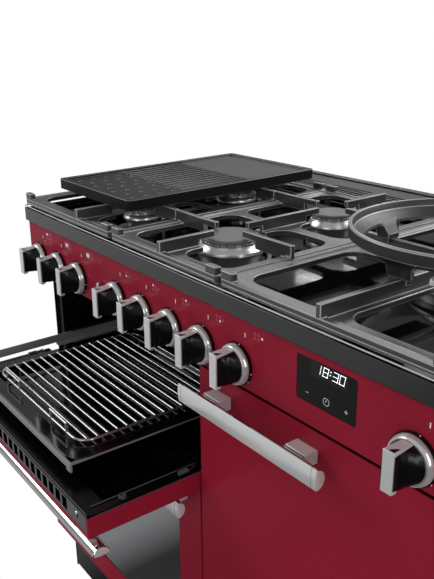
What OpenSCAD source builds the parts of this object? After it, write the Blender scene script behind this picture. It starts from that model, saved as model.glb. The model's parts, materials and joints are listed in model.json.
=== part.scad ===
// Free-standing dual fuel range cooker, 90 cm wide: gas hob, grill, main oven and tall oven.
// Drawn as it stands in use: grill door down and grill pan drawn out, other doors shut.
// Sizes below are taken from the face of the control panel (y = 0), the floor (z = 0)
// and the middle of the width (x = 0). place() then moves all to the middle of the footprint.

/* [Body] */
// Overall width
width = 892; // [860:1:1000]
// Face of the control panel to the back
depth = 594; // [570:1:640]
// Floor to the top of the hob trim
worktop_h = 905; // [895:1:930]
// Width of the left hand doors
left_door_w = 508; // [500:1:560]
// Gap between neighbouring doors and panels
door_gap = 4; // [3:0.5:6]
// Sheet thickness of the carcass
sheet = 2; // [1.5:0.5:3]
// Face of the front frame behind the panel face
frame_y = 42; // [40:0.5:46]
// Thickness of the front frame
frame_t = 4; // [3:0.5:6]
// Floor to the underside of the base
base_z = 112; // [105:1:120]
// Height of the base with the storage drawer
base_h = 121; // [119:1:128]
// How far the drawer front sits behind the doors
base_setback = 36; // [34:0.5:38]

/* [Control panel] */
// Height of the coloured panel
panel_h = 90; // [88:1:96]
// Height of the trim above the panel
trim_h = 23; // [20:1:28]
// Panel face to the front of the trim
trim_out = 6; // [4:0.5:8]
// Sheet thickness of the panel
panel_t = 1.5; // [1:0.25:2.5]
// Depth of the panel's folded edges
panel_fold = 30; // [20:1:34]
// Width of the clock window
clock_w = 86; // [80:1:92]
// Height of the clock window
clock_h = 53; // [48:1:56]
// Clock's right edge to the middle of the right hand knob
clock_gap = 72; // [66:1:80]

/* [Knobs] */
// Distance between the hob knobs
knob_pitch = 71.5; // [70:0.5:80]
// Hob knobs' first place, left of the tall door's edge
knob_lead = 208; // [200:1:215]
// Outer knobs' distance in from the sides
knob_edge = 40; // [38:1:50]
// Bezel diameter
bezel_d = 55; // [50:1:58]
// Grip diameter
grip_d = 43; // [38:1:46]
// Front of the knob ahead of the panel
knob_out = 38; // [32:1:44]
// Width of the bar across the knob
knob_bar_w = 13; // [10:0.5:16]
// Diameter of the knob's spindle
spindle_d = 6; // [5:0.5:8]

/* [Doors] */
// Thickness of the doors
door_t = 32; // [30:0.5:36]
// Height of the grill door
grill_door_h = 191; // [188:1:200]
// Sheet thickness of a door skin
skin_t = 2; // [1.5:0.25:3]
// Height of a handle bar
handle_h = 26; // [22:1:30]
// Front of a handle ahead of its door
handle_out = 36; // [32:1:38]
// Top of a drop-down door's handle below its door's top
handle_drop = 6; // [4:1:8]
// Top of the tall door's handle below its door's top
tall_handle_drop = 14; // [8:1:20]
// Length of the tall door's handle
tall_handle_w = 248; // [200:1:300]
// Coloured border round the main oven window
window_border = 55; // [45:1:70]

/* [Hob] */
// Top of the pan supports above the trim
grate_h = 32; // [28:1:40]
// Width of the centre pan support
centre_grate_w = 254; // [245:1:270]
// Width of the left pan support
left_grate_w = 296; // [285:1:300]
// Gap between pan supports
grate_gap = 3; // [2:0.5:6]
// Depth of the pan supports, front to back
grate_d = 442; // [430:1:450]
// Distance between front and rear burners
burner_pitch = 200; // [190:1:210]
// Griddle width
griddle_w = 236; // [220:1:250]
// Griddle length, front to back
griddle_l = 387; // [370:1:400]
// Griddle height
griddle_h = 17; // [14:1:22]
// Outer diameter of the wok ring
wok_ring_d = 280; // [270:1:300]
// Top of the wok ring above the pan supports
wok_ring_h = 40; // [34:1:44]

/* [Grill] */
// Width of the grill pan
pan_w = 350; // [320:1:380]
// Depth of the grill pan, front to back
pan_l = 320; // [300:1:330]
// Height of the grill pan
pan_h = 14; // [12:1:16]
// Pan's front ahead of the panel face
pan_out = 150; // [140:1:152]
// Wire thickness of the rack
rack_wire = 4; // [3:0.5:5]
// Number of rack wires
rack_wires = 16; // [12:1:20]

/* [Hidden] */
$fn = 48;

// Finishes
red = "#7d2833";
enamel = "#17171a";
charcoal = "#3a3b3e";
steel = "#b8babd";
iron = "#35363a";
alloy = "#c9cbce";

// Levels
half_w = width / 2;
panel_top = worktop_h - trim_h;
panel_bottom = panel_top - panel_h;
doors_top = panel_bottom - door_gap;
grill_bottom = doors_top - grill_door_h;
main_top = grill_bottom - door_gap;
base_top = base_z + base_h;
doors_bottom = base_top + door_gap;
split_l = -half_w + left_door_w;
split_r = split_l + door_gap;
left_mid = (-half_w + split_l) / 2;
frame_back = frame_y + frame_t;
back_y = depth - sheet;
grate_top = worktop_h + grate_h;

// Hinge line of the drop-down doors, measured from the door's face and lower edge
hinge_in = 9.5;
hinge_up = 7.5;
grill_hinge_z = grill_bottom + hinge_up;
main_hinge_z = doors_bottom + hinge_up;
pin_d = 6;
pin_gap = 0.3;
ear_t = 4;
ear_inset = 32;
ear_slot_gap = 1;
tall_pin_in = 10;

// Reach of the open grill door, which sets the middle of the footprint
door_reach = grill_door_h - hinge_up - hinge_in;
face_y = (door_reach - depth) / 2;

// Cavities
cavity_side = 18;
grill_x0 = -half_w + cavity_side;
grill_x1 = split_l - cavity_side;
grill_z0 = grill_bottom + 15;
grill_z1 = doors_top - 16;
grill_back = depth - 44;
main_x0 = -half_w + cavity_side + 10;
main_x1 = split_l - cavity_side - 10;
main_z0 = doors_bottom + 25;
main_z1 = main_top - 15;
tall_x0 = split_r + cavity_side + 8;
tall_x1 = half_w - cavity_side - 8;
tall_z0 = doors_bottom + 25;
tall_z1 = doors_top - 16;
oven_back = depth - 114;
seal_room = 0.5;

// Knobs and controls
knob_z = panel_bottom + bezel_d / 2 + 0.5;
edge_bevel = 2;
fan_cover = 230;
bezel_t = 4;
ring_t = 7;
ring_d = bezel_d - 3;
knob_lift = 0.5;
hob_knob_x = [for (i = [0:4]) split_r - knob_lead + i * knob_pitch];
left_knob_x = [for (i = [0:2]) -half_w + knob_edge + i * knob_pitch];
knob_x = concat(left_knob_x, hob_knob_x, [half_w - knob_edge - 3]);
button_d = 11;
// Room for the button to either side, of which it takes a share to the right
button_room = (hob_knob_x[0] - left_knob_x[2] - bezel_d - button_d) / 2;
button_x = (left_knob_x[2] + hob_knob_x[0]) / 2 + 0.5818 * button_room;
button_z = knob_z + 9;
clock_x0 = knob_x[8] - clock_gap - clock_w;
clock_z0 = panel_bottom + 26;
spindle_gap = 0.5;
rail_d = 14;
rail_z = panel_bottom + panel_t + rail_d / 2 + 0.2;

// Burners: [x, y, base diameter, cap diameter]
left_grate_x0 = -half_w + 5;
left_grate_x1 = left_grate_x0 + left_grate_w;
centre_grate_x0 = left_grate_x1 + grate_gap;
centre_grate_x1 = centre_grate_x0 + centre_grate_w;
right_grate_x0 = centre_grate_x1 + grate_gap;
right_grate_x1 = half_w - 5;
left_burner_x = (left_grate_x0 + left_grate_x1) / 2 + 44;
centre_burner_x = (centre_grate_x0 + centre_grate_x1) / 2;
wok_x = (right_grate_x0 + right_grate_x1) / 2;
grate_y0 = -trim_out + 1;
grate_y1 = grate_y0 + grate_d;
hob_mid_y = (grate_y0 + grate_y1) / 2;
front_y = hob_mid_y - burner_pitch / 2;
rear_y = hob_mid_y + burner_pitch / 2;
burners = [[left_burner_x, front_y, 62, 46], [left_burner_x, rear_y, 74, 58],
    [centre_burner_x, front_y, 100, 80], [centre_burner_x, rear_y, 73, 58],
    [wok_x, hob_mid_y + 24, 126, 96]];
hob_z = worktop_h - 7;

// Grill pan and its carriage
pan_mid = left_mid - 4;
pan_rim = 22;
pan_z = grill_hinge_z + 37;
arm_w = 12;
arm_h = 19;
arm_gap = 0.3;
pan_back = pan_l - pan_out;

module place() { translate([0, face_y, 0]) children(); }

module box(x0, x1, y0, y1, z0, z1) {
    translate([x0, y0, z0]) cube([x1 - x0, y1 - y0, z1 - z0]);
}

// Rounded rectangle with true arcs, from its lower left corner
module rounded(w, h, r) {
    translate([r, 0]) square([w - 2 * r, h]);
    translate([0, r]) square([w, h - 2 * r]);
    for (x = [r, w - r], y = [r, h - r]) translate([x, y]) circle(r);
}

// Upright plate in the XZ plane with rounded corners
module plate(x0, x1, y0, y1, z0, z1, r) {
    translate([x0, y1, z0]) rotate([90, 0, 0]) linear_extrude(y1 - y0) rounded(x1 - x0, z1 - z0, r);
}

// Flat plate in the XY plane with rounded corners
module flat(x0, x1, y0, y1, z0, z1, r) {
    translate([x0, y0, z0]) linear_extrude(z1 - z0) rounded(x1 - x0, y1 - y0, r);
}

module rod_x(x0, x1, y, z, d) { translate([x0, y, z]) rotate([0, 90, 0]) cylinder(d = d, h = x1 - x0); }
module rod_y(x, y0, y1, z, d) { translate([x, y1, z]) rotate([90, 0, 0]) cylinder(d = d, h = y1 - y0); }
module rod_z(x, y, z0, z1, d) { translate([x, y, z0]) cylinder(d = d, h = z1 - z0); }

// Front frame with an opening for each cavity, on a base tray, with corner posts
module chassis() place() color(charcoal) {
    difference() {
        union() {
            box(-half_w + sheet, half_w - sheet, frame_y, frame_back, base_top, panel_top);
            for (s = [-1, 1]) ear_pair(s > 0);
        }
        plate(grill_x0, grill_x1, frame_y - 1, frame_back + 1, grill_z0, grill_z1, 14);
        plate(main_x0, main_x1, frame_y - 1, frame_back + 1, main_z0, main_z1, 14);
        plate(tall_x0, tall_x1, frame_y - 1, frame_back + 1, tall_z0, tall_z1, 14);
        for (x = knob_x) rod_y(x, frame_y - 1, frame_back + 1, knob_z, 20);
    }
    box(-half_w + sheet, half_w - sheet, base_setback + 20, back_y, base_z, base_z + 3);
    box(split_l, split_l + 3, base_setback + 20, back_y, base_z + 3, base_top);
    box(split_l + 3, half_w - sheet, base_setback, base_setback + 2, base_z, base_top);
    box(-half_w + sheet, half_w - sheet, frame_back, back_y, base_top, base_top + 3);
    for (x = [-half_w + sheet, half_w - sheet - 25]) {
        box(x, x + 25, back_y - 25, back_y, base_z + 3, base_top);
        box(x, x + 25, back_y - 25, back_y, base_top + 3, panel_top);
    }
    for (x = [-half_w + 22, split_l - 28])
        box(x, x + 8, base_setback + 24, depth - 70, base_z + 3, base_z + 8.7);
    tall_hinges();
}

// Ears on the front frame that carry a drop-down door's pins
module ear_pair(upper) {
    z = upper ? grill_hinge_z : main_hinge_z;
    for (x = [-half_w + ear_inset, split_l - ear_inset - ear_t]) {
        difference() {
            union() {
                rod_x(x, x + ear_t, hinge_in, z, 14);
                box(x, x + ear_t, hinge_in, frame_y, z - 7, z + 7);
            }
            rod_x(x - 1, x + ear_t + 1, hinge_in, z, pin_d + 2 * pin_gap);
        }
    }
}

// Brackets above and below the tall door, each with an upright pin
module tall_hinges() {
    x = half_w - tall_pin_in;
    for (z = [doors_bottom - door_gap + 0.5, doors_top + 0.5]) {
        box(x - 8, x + 8, hinge_in - 8, frame_y, z, z + 3);
    }
    rod_z(x, hinge_in, doors_bottom - door_gap + 3, doors_bottom + 14, pin_d);
    rod_z(x, hinge_in, doors_top - 14, doors_top + 1, pin_d);
}

module side_panels() place() color(charcoal) {
    for (s = [0, 1]) mirror([s, 0, 0]) {
        box(-half_w, -half_w + sheet, base_setback, depth, base_z, panel_top);
        box(-half_w + sheet, -half_w + 11, frame_back, frame_back + 1.5, base_top + 4, panel_top - 1);
    }
}

module back_panel() place() color(charcoal) difference() {
    box(-half_w + sheet, half_w - sheet, back_y, depth, base_z, panel_top);
    for (i = [0:23], j = [0, 1]) {
        translate([-230 + i * 20, back_y - 1, 640 + j * 70]) rotate([-90, 0, 0])
            linear_extrude(sheet + 2) mirror([0, 1]) rounded(8, 50, 3.9);
    }
}

// Kick strip set well back under the base
module plinth() place() color(enamel) {
    y = base_setback + 34;
    box(-half_w + 20, half_w - 20, y, y + 2, 14, base_z);
    box(-half_w + 20, half_w - 20, y + 2, y + 22, 14, 16);
    for (s = [0, 1]) mirror([s, 0, 0]) box(-half_w + 20, -half_w + 22, y + 2, y + 90, 14, base_z);
}

// Four threaded feet with wide pads
module levelling_feet() place() color(steel) {
    for (x = [-half_w + 60, half_w - 60], y = [base_setback + 80, depth - 60]) {
        rod_z(x, y, 0, 6, 38);
        rod_z(x, y, 6, 14, 24);
        rod_z(x, y, 14, base_z, 16);
        translate([x, y, base_z - 10]) cylinder(d = 26, h = 10, $fn = 6);
    }
}

// Pressed hotplate: a raised margin round a sunken floor, with a ring well at each burner
module hob_tray() place() color(enamel) difference() {
    union() {
        flat(-half_w + 3, half_w - 3, 2, depth - 16, hob_z - 9, hob_z, 8);
        for (b = burners) rod_z(b[0], b[1], hob_z - 12, hob_z - 9, b[2] + 36);
    }
    flat(-half_w + 18, half_w - 18, 14, grate_y1 + 12, hob_z - 5, hob_z + 1, 20);
    for (b = burners) {
        rod_z(b[0], b[1], hob_z - 8, hob_z, b[2] + 24);
        rod_z(b[0], b[1], hob_z - 13, hob_z, b[2] - 16);
    }
    for (i = [0:5]) box(vent_x(i) - 50, vent_x(i) + 50, grate_y1 + 52, grate_y1 + 96, hob_z - 10, hob_z + 1);
}

function vent_x(i) = (i - 2.5) * 114 + 2;

// Trim that frames the hotplate on four sides
module hob_trim() place() color(charcoal) {
    z0 = panel_top;
    difference() {
        box(-half_w, half_w, -trim_out, depth, z0, worktop_h);
        box(-half_w + 2, half_w - 2, -trim_out + 2, depth - 12, z0 - 1, worktop_h + 1);
    }
    for (s = [0, 1]) mirror([s, 0, 0])
        box(-half_w + 2, -half_w + 14, 0, depth - 12, z0, hob_z - 9.2);
    box(-half_w + 14, half_w - 14, -trim_out + 2, 12, z0, z0 + 2);
    box(-half_w, half_w, depth - 14, depth, worktop_h, worktop_h + 4);
}

// Slotted vent along the back of the hob, six groups of four long slots
module flue_vent() place() color(enamel) {
    y0 = grate_y1 + 40;
    difference() {
        flat(-half_w + 20, half_w - 20, y0, depth - 18, hob_z, hob_z + 8, 5);
        flat(-half_w + 23, half_w - 23, y0 + 3, depth - 21, hob_z - 1, hob_z + 6, 4);
        for (i = [0:5], j = [0:3]) {
            flat(vent_x(i) - 49, vent_x(i) + 49, y0 + 12 + j * 12, y0 + 18 + j * 12,
                hob_z + 5, hob_z + 9, 2.9);
        }
    }
}

// Coloured front panel, folded back at its edges
module control_panel() place() color(red) difference() {
    union() {
        box(-half_w, half_w, 0, panel_t, panel_bottom, panel_top - 0.5);
        box(-half_w, half_w, 0, panel_fold, panel_bottom, panel_bottom + panel_t);
        for (s = [0, 1]) mirror([s, 0, 0])
            box(-half_w, -half_w + panel_t, 0, panel_fold, panel_bottom, panel_top - 0.5);
    }
    for (x = knob_x) rod_y(x, -1, panel_t + 1, knob_z, spindle_d + 6);
    rod_y(button_x, -1, panel_t + 1, button_z, button_d - 1);
    plate(clock_x0, clock_x0 + clock_w, -1, panel_t + 1, clock_z0, clock_z0 + clock_h, 3);
}

// Black glass of the clock, set a little into the panel, with its module behind
module clock_glass() place() color("#101214") {
    plate(clock_x0 + 0.3, clock_x0 + clock_w - 0.3, 0.5, 3, clock_z0 + 0.3, clock_z0 + clock_h - 0.3, 2.8);
    box(clock_x0 + 4, clock_x0 + clock_w - 4, 3, 24, clock_z0 + 4, clock_z0 + clock_h - 4);
}

module knob_bezels() place() color(enamel) for (x = knob_x) difference() {
    union() {
        rod_y(x, -bezel_t + 1, 0, knob_z, bezel_d);
        rod_y(x, -bezel_t, -bezel_t + 1, knob_z, bezel_d - 1);
    }
    rod_y(x, -bezel_t - 1, 1, knob_z, spindle_d + 6);
}

// Polished cone that each knob turns in
module knob_rings() place() color(alloy) for (x = knob_x) difference() {
    translate([x, -bezel_t, knob_z]) rotate([90, 0, 0]) cylinder(d1 = ring_d, d2 = grip_d + 4, h = ring_t);
    rod_y(x, -bezel_t - ring_t - 1, -bezel_t + 1, knob_z, spindle_d + 6);
}

// Knob: fluted grips each side of a flat bar, on a spindle socket
module knob(n) place() {
    x = knob_x[n];
    y0 = -bezel_t - ring_t - knob_lift;
    grip_r = grip_d / 2;
    w = knob_bar_w / 2;
    color(enamel) difference() {
        intersection() {
            rod_y(x, -knob_out + 1.5, y0, knob_z, grip_d);
            translate([x, 0, knob_z - grip_r]) linear_extrude(grip_d) polygon(concat(
                [for (t = [0:0.125:1]) [-w - 2 - (grip_r - w - 2) * pow(t, 1.6), -knob_out + 1.5 + t * (y0 + knob_out - 1.5)]],
                [for (t = [1:-0.125:0]) [w + 2 + (grip_r - w - 2) * pow(t, 1.6), -knob_out + 1.5 + t * (y0 + knob_out - 1.5)]]));
        }
        box(x - w, x + w, -knob_out - 1, y0 - 2, knob_z - 30, knob_z + 30);
    }
    color(alloy) difference() {
        union() {
            box(x - knob_bar_w / 2, x + knob_bar_w / 2, -knob_out, y0 - 2, knob_z - grip_r - 0.5,
                knob_z + grip_r + 0.5);
            rod_y(x, y0 - 2, -1, knob_z, spindle_d + 5);
        }
        rod_y(x, -12, 1, knob_z, spindle_d + 2 * spindle_gap);
    }
}

module light_button() place() color(alloy) {
    rod_y(button_x, -7, -1, button_z, button_d - 2);
    rod_y(button_x, -8, -7, button_z, button_d - 3.4);
    rod_y(button_x, -1, 12, button_z, button_d - 5);
}

// Gas rail behind the hob knobs
module gas_rail() place() color("#9a8a55") {
    z = rail_z;
    rod_x(hob_knob_x[0] - 70, hob_knob_x[4] + 40, 26, z, rail_d);
    rod_x(hob_knob_x[4] + 40, hob_knob_x[4] + 50, 26, z, rail_d - 2);
    for (x = [hob_knob_x[0] - 40, hob_knob_x[4] + 20]) box(x, x + 12, 30, frame_y, z - 5, z + 5);
}

// Five taps on the rail: body, spindle and outlet
module gas_taps() place() color("#b59a4a") for (x = hob_knob_x) {
    rod_y(x, -10, 8, knob_z, spindle_d);
    rod_y(x, 8, 33, knob_z, 18);
    box(x - 8, x + 8, 19, 33, rail_z + rail_d / 2, knob_z);
    rod_z(x, 26, knob_z, knob_z + 22, 8);
}

// Rotary switches behind the grill and oven knobs
module rotary_switches() place() color("#d8d4c8") for (x = concat(left_knob_x, [knob_x[8]])) {
    rod_y(x, -10, 6, knob_z, spindle_d);
    box(x - 17, x + 17, 6, 34, knob_z - 17, knob_z + 17);
    for (s = [-1, 1]) box(x + s * 9 - 3, x + s * 9 + 3, 34, 40, knob_z - 1, knob_z + 1);
}

// Push switch behind the light button, bored for the button's stem
module button_switch() place() color("#d8d4c8") difference() {
    box(button_x - 8, button_x + 8, panel_t, 26, button_z - 8, button_z + 8);
    rod_y(button_x, panel_t - 1, panel_t + 4, button_z, button_d);
    rod_y(button_x, panel_t - 1, 20, button_z, button_d - 5 + 0.16);
}

// Burner bases: a flared ring with flame ports, standing in the tray's well
module burner_bases() place() color(alloy) for (b = burners) translate([b[0], b[1], 0]) {
    r = b[2] / 2;
    c = b[3] / 2;
    z = hob_z - 8 + 0.2;
    rotate_extrude() polygon([[r - 12, z], [r - 6, z], [r - 4, z + 12], [r, z + 15], [r - 1, z + 19],
        [c + 3, z + 24], [c + 3, z + 25], [c - 3, z + 25], [c - 3, z + 18], [r - 12, z + 12]]);
    difference() {
        translate([0, 0, z + 25]) cylinder(r = c + 1, h = 5);
        translate([0, 0, z + 24]) cylinder(r = c - 3, h = 7);
        for (a = [0:15:345]) rotate(a) translate([c - 4, -1, z + 26.5]) cube([6, 2, 4]);
    }
    translate([0, 0, z - 20]) cylinder(r = 11, h = 40);
    for (a = [0, 120, 240]) rotate(a) translate([9, -2, z + 4]) cube([r - 19, 4, 7]);
}

module burner_caps() place() color("#808387") for (b = burners) {
    z = hob_z - 8 + 30.4;
    translate([b[0], b[1], z]) {
        cylinder(r = b[3] / 2 + 1, h = 3);
        translate([0, 0, 3]) cylinder(r1 = b[3] / 2 + 1, r2 = b[3] / 2 - 1, h = 2);
        translate([0, 0, -6]) cylinder(r = b[3] / 2 - 3.5, h = 6);
    }
}

module spark_plugs() place() color("#e8e4da") for (b = burners) {
    a = 40;
    r = b[2] / 2 + 5;
    translate([b[0] + r * cos(a), b[1] + r * sin(a), 0]) {
        translate([0, 0, hob_z - 7.8]) cylinder(d = 6, h = 24);
        translate([0, 0, hob_z + 16.2]) cylinder(d = 2.4, h = 5);
    }
}

// Pan support: a cast web with rounded openings, a rail round it, corner posts and fingers.
// fingers holds [x, y, reach] of each burner that its blades point at.
module grate(x0, x1, spots, wells) {
    web_z = grate_top - 24;
    rail = 9;
    blade = 7;
    color(iron) {
        difference() {
            flat(x0, x1, grate_y0, grate_y1, web_z, web_z + 7, 6);
            for (w = wells) flat(w[0], w[1], w[2], w[3], web_z - 1, web_z + 8, 26);
        }
        difference() {
            flat(x0, x1, grate_y0, grate_y1, web_z - 1, web_z + 9, 6);
            flat(x0 + rail, x1 - rail, grate_y0 + rail, grate_y1 - rail, web_z - 2, web_z + 10, 4);
            box(x0 - 1, x1 + 1, grate_y0 - 1, grate_y0 + 1.5, web_z + 3, web_z + 5);
        }
        for (x = [x0 + 3, x1 - 3 - 22], y = [grate_y0, grate_y1 - rail])
            flat(x, x + 22, y, y + rail, web_z + 9, grate_top - 5, 2);
        for (x = [x0 + 10, x1 - 10], y = [grate_y0 + 24, grate_y1 - 12])
            rod_z(x, y, hob_z + 0.3, web_z, 12);
        for (s = spots) {
            for (a = [0, 180]) translate([s[0], s[1], 0]) rotate(a) {
                reach = a == 0 ? x1 - s[0] : s[0] - x0;
                translate([s[2], -blade / 2, web_z + 4]) cube([reach - s[2], blade, grate_top - web_z - 4]);
            }
        }
    }
}

// Blades that run front to back over a burner at s, from y0 to y1
module long_blades(x, y0, y1, s, r) {
    blade = 7;
    z = grate_top - 20;
    color(iron) {
        translate([x - blade / 2, y0, z]) cube([blade, s - r - y0, 20]);
        translate([x - blade / 2, s + r, z]) cube([blade, y1 - s - r, 20]);
    }
}

// Openings in a web of two burners: front and rear halves, each in two bays
function bays(x0, x1, m) = [
    for (y = [[grate_y0 + 24, hob_mid_y - 9], [hob_mid_y + 9, grate_y1 - 16]],
         x = [[x0 + 18, m - 12], [m + 12, x1 - 18]]) [x[0], x[1], y[0], y[1]]];

module grate_two(x0, x1, x) {
    difference() {
        union() {
            grate(x0, x1, [[x, front_y, 30], [x, rear_y, 30]], bays(x0, x1, x));
            long_blades(x, grate_y0, hob_mid_y, front_y, 30);
            long_blades(x, hob_mid_y, grate_y1, rear_y, 30);
        }
        for (y = [front_y, rear_y]) rod_z(x, y, grate_top - 40, grate_top - 9, 114);
    }
}

module grate_left() place() grate_two(left_grate_x0, left_grate_x1, left_burner_x);

module grate_centre() place() grate_two(centre_grate_x0, centre_grate_x1, centre_burner_x);

module grate_right() place() {
    y = burners[4][1];
    difference() {
        union() {
            grate(right_grate_x0, right_grate_x1, [[wok_x, y, 44]],
                bays(right_grate_x0, right_grate_x1, wok_x));
            long_blades(wok_x, grate_y0, grate_y1, y, 44);
        }
        rod_z(wok_x, y, grate_top - 40, grate_top - 9, 146);
    }
}

// Cast griddle: raised rim, dimpled front, ribbed middle and smooth back
module griddle() place() color(enamel) {
    x0 = (left_grate_x0 + left_grate_x1) / 2 - griddle_w / 2;
    y0 = 48;
    z = grate_top + 0.4;
    top = z + griddle_h;
    wall = 9;
    bed = top - 4;
    rib_y0 = y0 + griddle_l * 0.31;
    rib_y1 = y0 + griddle_l * 0.66;
    ribs = 14;
    rib_step = (griddle_w - 2 * wall) / ribs;
    difference() {
        flat(x0, x0 + griddle_w, y0, y0 + griddle_l, z, top, 8);
        flat(x0 + wall, x0 + griddle_w - wall, y0 + wall, y0 + griddle_l - wall, bed, top + 1, 5);
        for (i = [0:ribs - 1]) {
            box(x0 + wall + rib_step * (i + 0.25), x0 + wall + rib_step * (i + 0.75),
                rib_y0, rib_y1, bed - 2.5, bed + 1);
        }
        flat(x0 + 16, x0 + griddle_w - 16, y0 + 16, y0 + griddle_l - 16, z - 1, z + 7, 8);
        for (i = [0:6], j = [0:3]) rod_z(x0 + 30 + i * 29, y0 + 26 + j * 26 + (i % 2) * 9,
            bed - 1.2, bed + 1, 6);
    }
}

// Wok ring: a dished rim on four curved claws that stand on the pan support
module wok_ring() place() color(iron) {
    y = burners[4][1];
    top = grate_top + wok_ring_h;
    r = wok_ring_d / 2;
    seat = 0.4;
    claw = 10;
    cheek = 4;
    translate([wok_x, y, 0]) {
        rotate_extrude($fn = 96) polygon([[r, top - 15], [r, top - 1.5], [r - 1.5, top], [r - 4, top], [r - 5, top - 1],
            [r - 7, top - 9], [r - 11, top - 11], [r - 19, top - 20], [r - 20, top - 23], [r - 16, top - 23.5],
            [r - 7, top - 17]]);
        for (a = [0:90:270]) rotate(a) {
            intersection() {
                translate([0, 40, 0]) rotate([90, 0, 0]) linear_extrude(80)
                    polygon([[r - 10, top - 11.5], [r - 20, top - 20], [r - 30, grate_top + 6],
                        [r - 30, grate_top + seat], [r - 17, grate_top + seat], [r - 14, top - 24], [r - 8, top - 16]]);
                translate([0, 0, grate_top]) linear_extrude(wok_ring_h)
                    polygon([[r - 31, claw], [r - 23, claw + 1], [r - 15, claw + 8], [r - 9, claw + 18],
                        [r - 9, -claw - 18], [r - 15, -claw - 8], [r - 23, -claw - 1], [r - 31, -claw]]);
            }
            for (side = [0, 1]) mirror([0, side, 0])
                box(r - 29, r - 18, cheek, claw - 0.5, grate_top - 6, grate_top + 1);
        }
    }
}

// Enamelled oven or grill cavity: an open box with a flange at its mouth
module cavity(x0, x1, z0, z1, back, r) {
    t = 1.5;
    color(enamel) difference() {
        union() {
            plate(x0, x1, frame_back + 2, back, z0, z1, r);
            plate(x0 - 6, x1 + 6, frame_back + 0.3, frame_back + 2, z0 - 6, z1 + 6, r + 4);
        }
        plate(x0 + t, x1 - t, frame_back - 1, back - t, z0 + t, z1 - t, r - t);
        children();
    }
}

module grill_cavity() place() cavity(grill_x0, grill_x1, grill_z0, grill_z1, grill_back, 14);

module main_cavity() place() cavity(main_x0, main_x1, main_z0, main_z1, oven_back, 14) {
    rod_y((main_x0 + main_x1) / 2, oven_back - 5, oven_back + 1, (main_z0 + main_z1) / 2, 14);
}

module tall_cavity() place() cavity(tall_x0, tall_x1, tall_z0, tall_z1, oven_back, 14) {
    rod_y((tall_x0 + tall_x1) / 2, oven_back - 5, oven_back + 1, (tall_z0 + tall_z1) / 2, 14);
}

// Looped heating rod under the grill's roof, held by its terminals through the back
module grill_element() place() color("#5a4a42") {
    z = grill_z1 - 16;
    d = 7;
    y0 = frame_back + 60;
    y1 = grill_back - 60;
    n = 5;
    step = 56;
    for (i = [0:n]) {
        x = pan_mid + (i - n / 2) * step;
        rod_y(x, y0 + step / 2, i == 0 || i == n ? grill_back - 1.5 : y1 - step / 2, z, d);
    }
    for (i = [0:n - 1]) {
        x = pan_mid + (i - n / 2 + 0.5) * step;
        front = i % 2 == 0;
        translate([x, front ? y0 + step / 2 : y1 - step / 2, z]) rotate(front ? 180 : 0)
            rotate_extrude(angle = 180) translate([step / 2, 0]) circle(d = d);
    }
}

// Fixed channels that the grill carriage's arms slide in
module grill_runners() place() color(steel) {
    for (s = [0, 1]) translate([left_mid, 0, 0]) mirror([s, 0, 0]) {
        x = grill_x0 + 1.5 - left_mid;
        z = pan_z - 2;
        y0 = frame_back + 8;
        y1 = grill_back - 4;
        box(x, x + 1.5, y0, y1, z - 1.7, z + arm_h + 1.7);
        box(x + 1.5, x + arm_w + 4, y0, y1, z - 1.7, z - 0.2);
        box(x + 1.5, x + 8, y0, y1, z + arm_h + 0.2, z + arm_h + 1.7);
    }
}

// Pressed covers over the two oven fans
module fan_baffles() place() color(enamel)
    for (c = [[(main_x0 + main_x1) / 2, (main_z0 + main_z1) / 2, fan_cover],
              [(tall_x0 + tall_x1) / 2, (tall_z0 + tall_z1) / 2, fan_cover]]) {
        h = c[2] / 2;
        y1 = oven_back - 1.5;
        difference() {
            plate(c[0] - h, c[0] + h, y1 - 42, y1, c[1] - h + 5, c[1] + h - 5, 30);
            plate(c[0] - h + 2, c[0] + h - 2, y1 - 40, y1 + 1, c[1] - h + 7, c[1] + h - 7, 28);
            for (a = [0:30:330], r = [18, 36, 54]) {
                rod_y(c[0] + r * cos(a + r), y1 - 43, y1 - 39, c[1] + r * sin(a + r), 8);
            }
        }
    }

// Fan motors behind the ovens, with the spindles that carry the blades
module fan_motors() place() color(steel)
    for (c = [[(main_x0 + main_x1) / 2, (main_z0 + main_z1) / 2],
              [(tall_x0 + tall_x1) / 2, (tall_z0 + tall_z1) / 2]]) {
        rod_y(c[0], oven_back, oven_back + 40, c[1], 62);
        rod_y(c[0], oven_back + 40, oven_back + 52, c[1], 34);
        rod_y(c[0], oven_back - 30, oven_back, c[1], 8);
        for (s = [-1, 1]) box(c[0] + s * 45 - 14, c[0] + s * 45 + 14, oven_back, oven_back + 3,
            c[1] - 8, c[1] + 8);
    }

module fan(cx, cz) {
    y1 = oven_back - 8;
    color(steel) difference() {
        union() {
            rod_y(cx, y1 - 2, y1, cz, 130);
            rod_y(cx, y1 - 12, y1 - 2, cz, 20);
            for (a = [0:30:330]) translate([cx, y1 - 2, cz]) rotate([90, 0, 0]) rotate(a)
                translate([38, -1, 0]) rotate(14) cube([26, 2, 20]);
        }
        rod_y(cx, y1 - 14, y1 + 1, cz, 8.6);
    }
}

module main_fan() place() fan((main_x0 + main_x1) / 2, (main_z0 + main_z1) / 2);

module tall_fan() place() fan((tall_x0 + tall_x1) / 2, (tall_z0 + tall_z1) / 2);

// Heat-proof seals round the two oven mouths and the grill
module door_seals() place() color("#2b2b2d") {
    for (c = [[main_x0, main_x1, main_z0, main_z1], [tall_x0, tall_x1, tall_z0, tall_z1]]) {
        difference() {
            plate(c[0] - 4, c[1] + 4, door_t + seal_room, frame_y, c[2] - 4, c[3] + 4, 17);
            plate(c[0] + 2, c[1] - 2, door_t - 1, frame_y + 1, c[2] + 2, c[3] - 2, 13);
        }
    }
}

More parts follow.
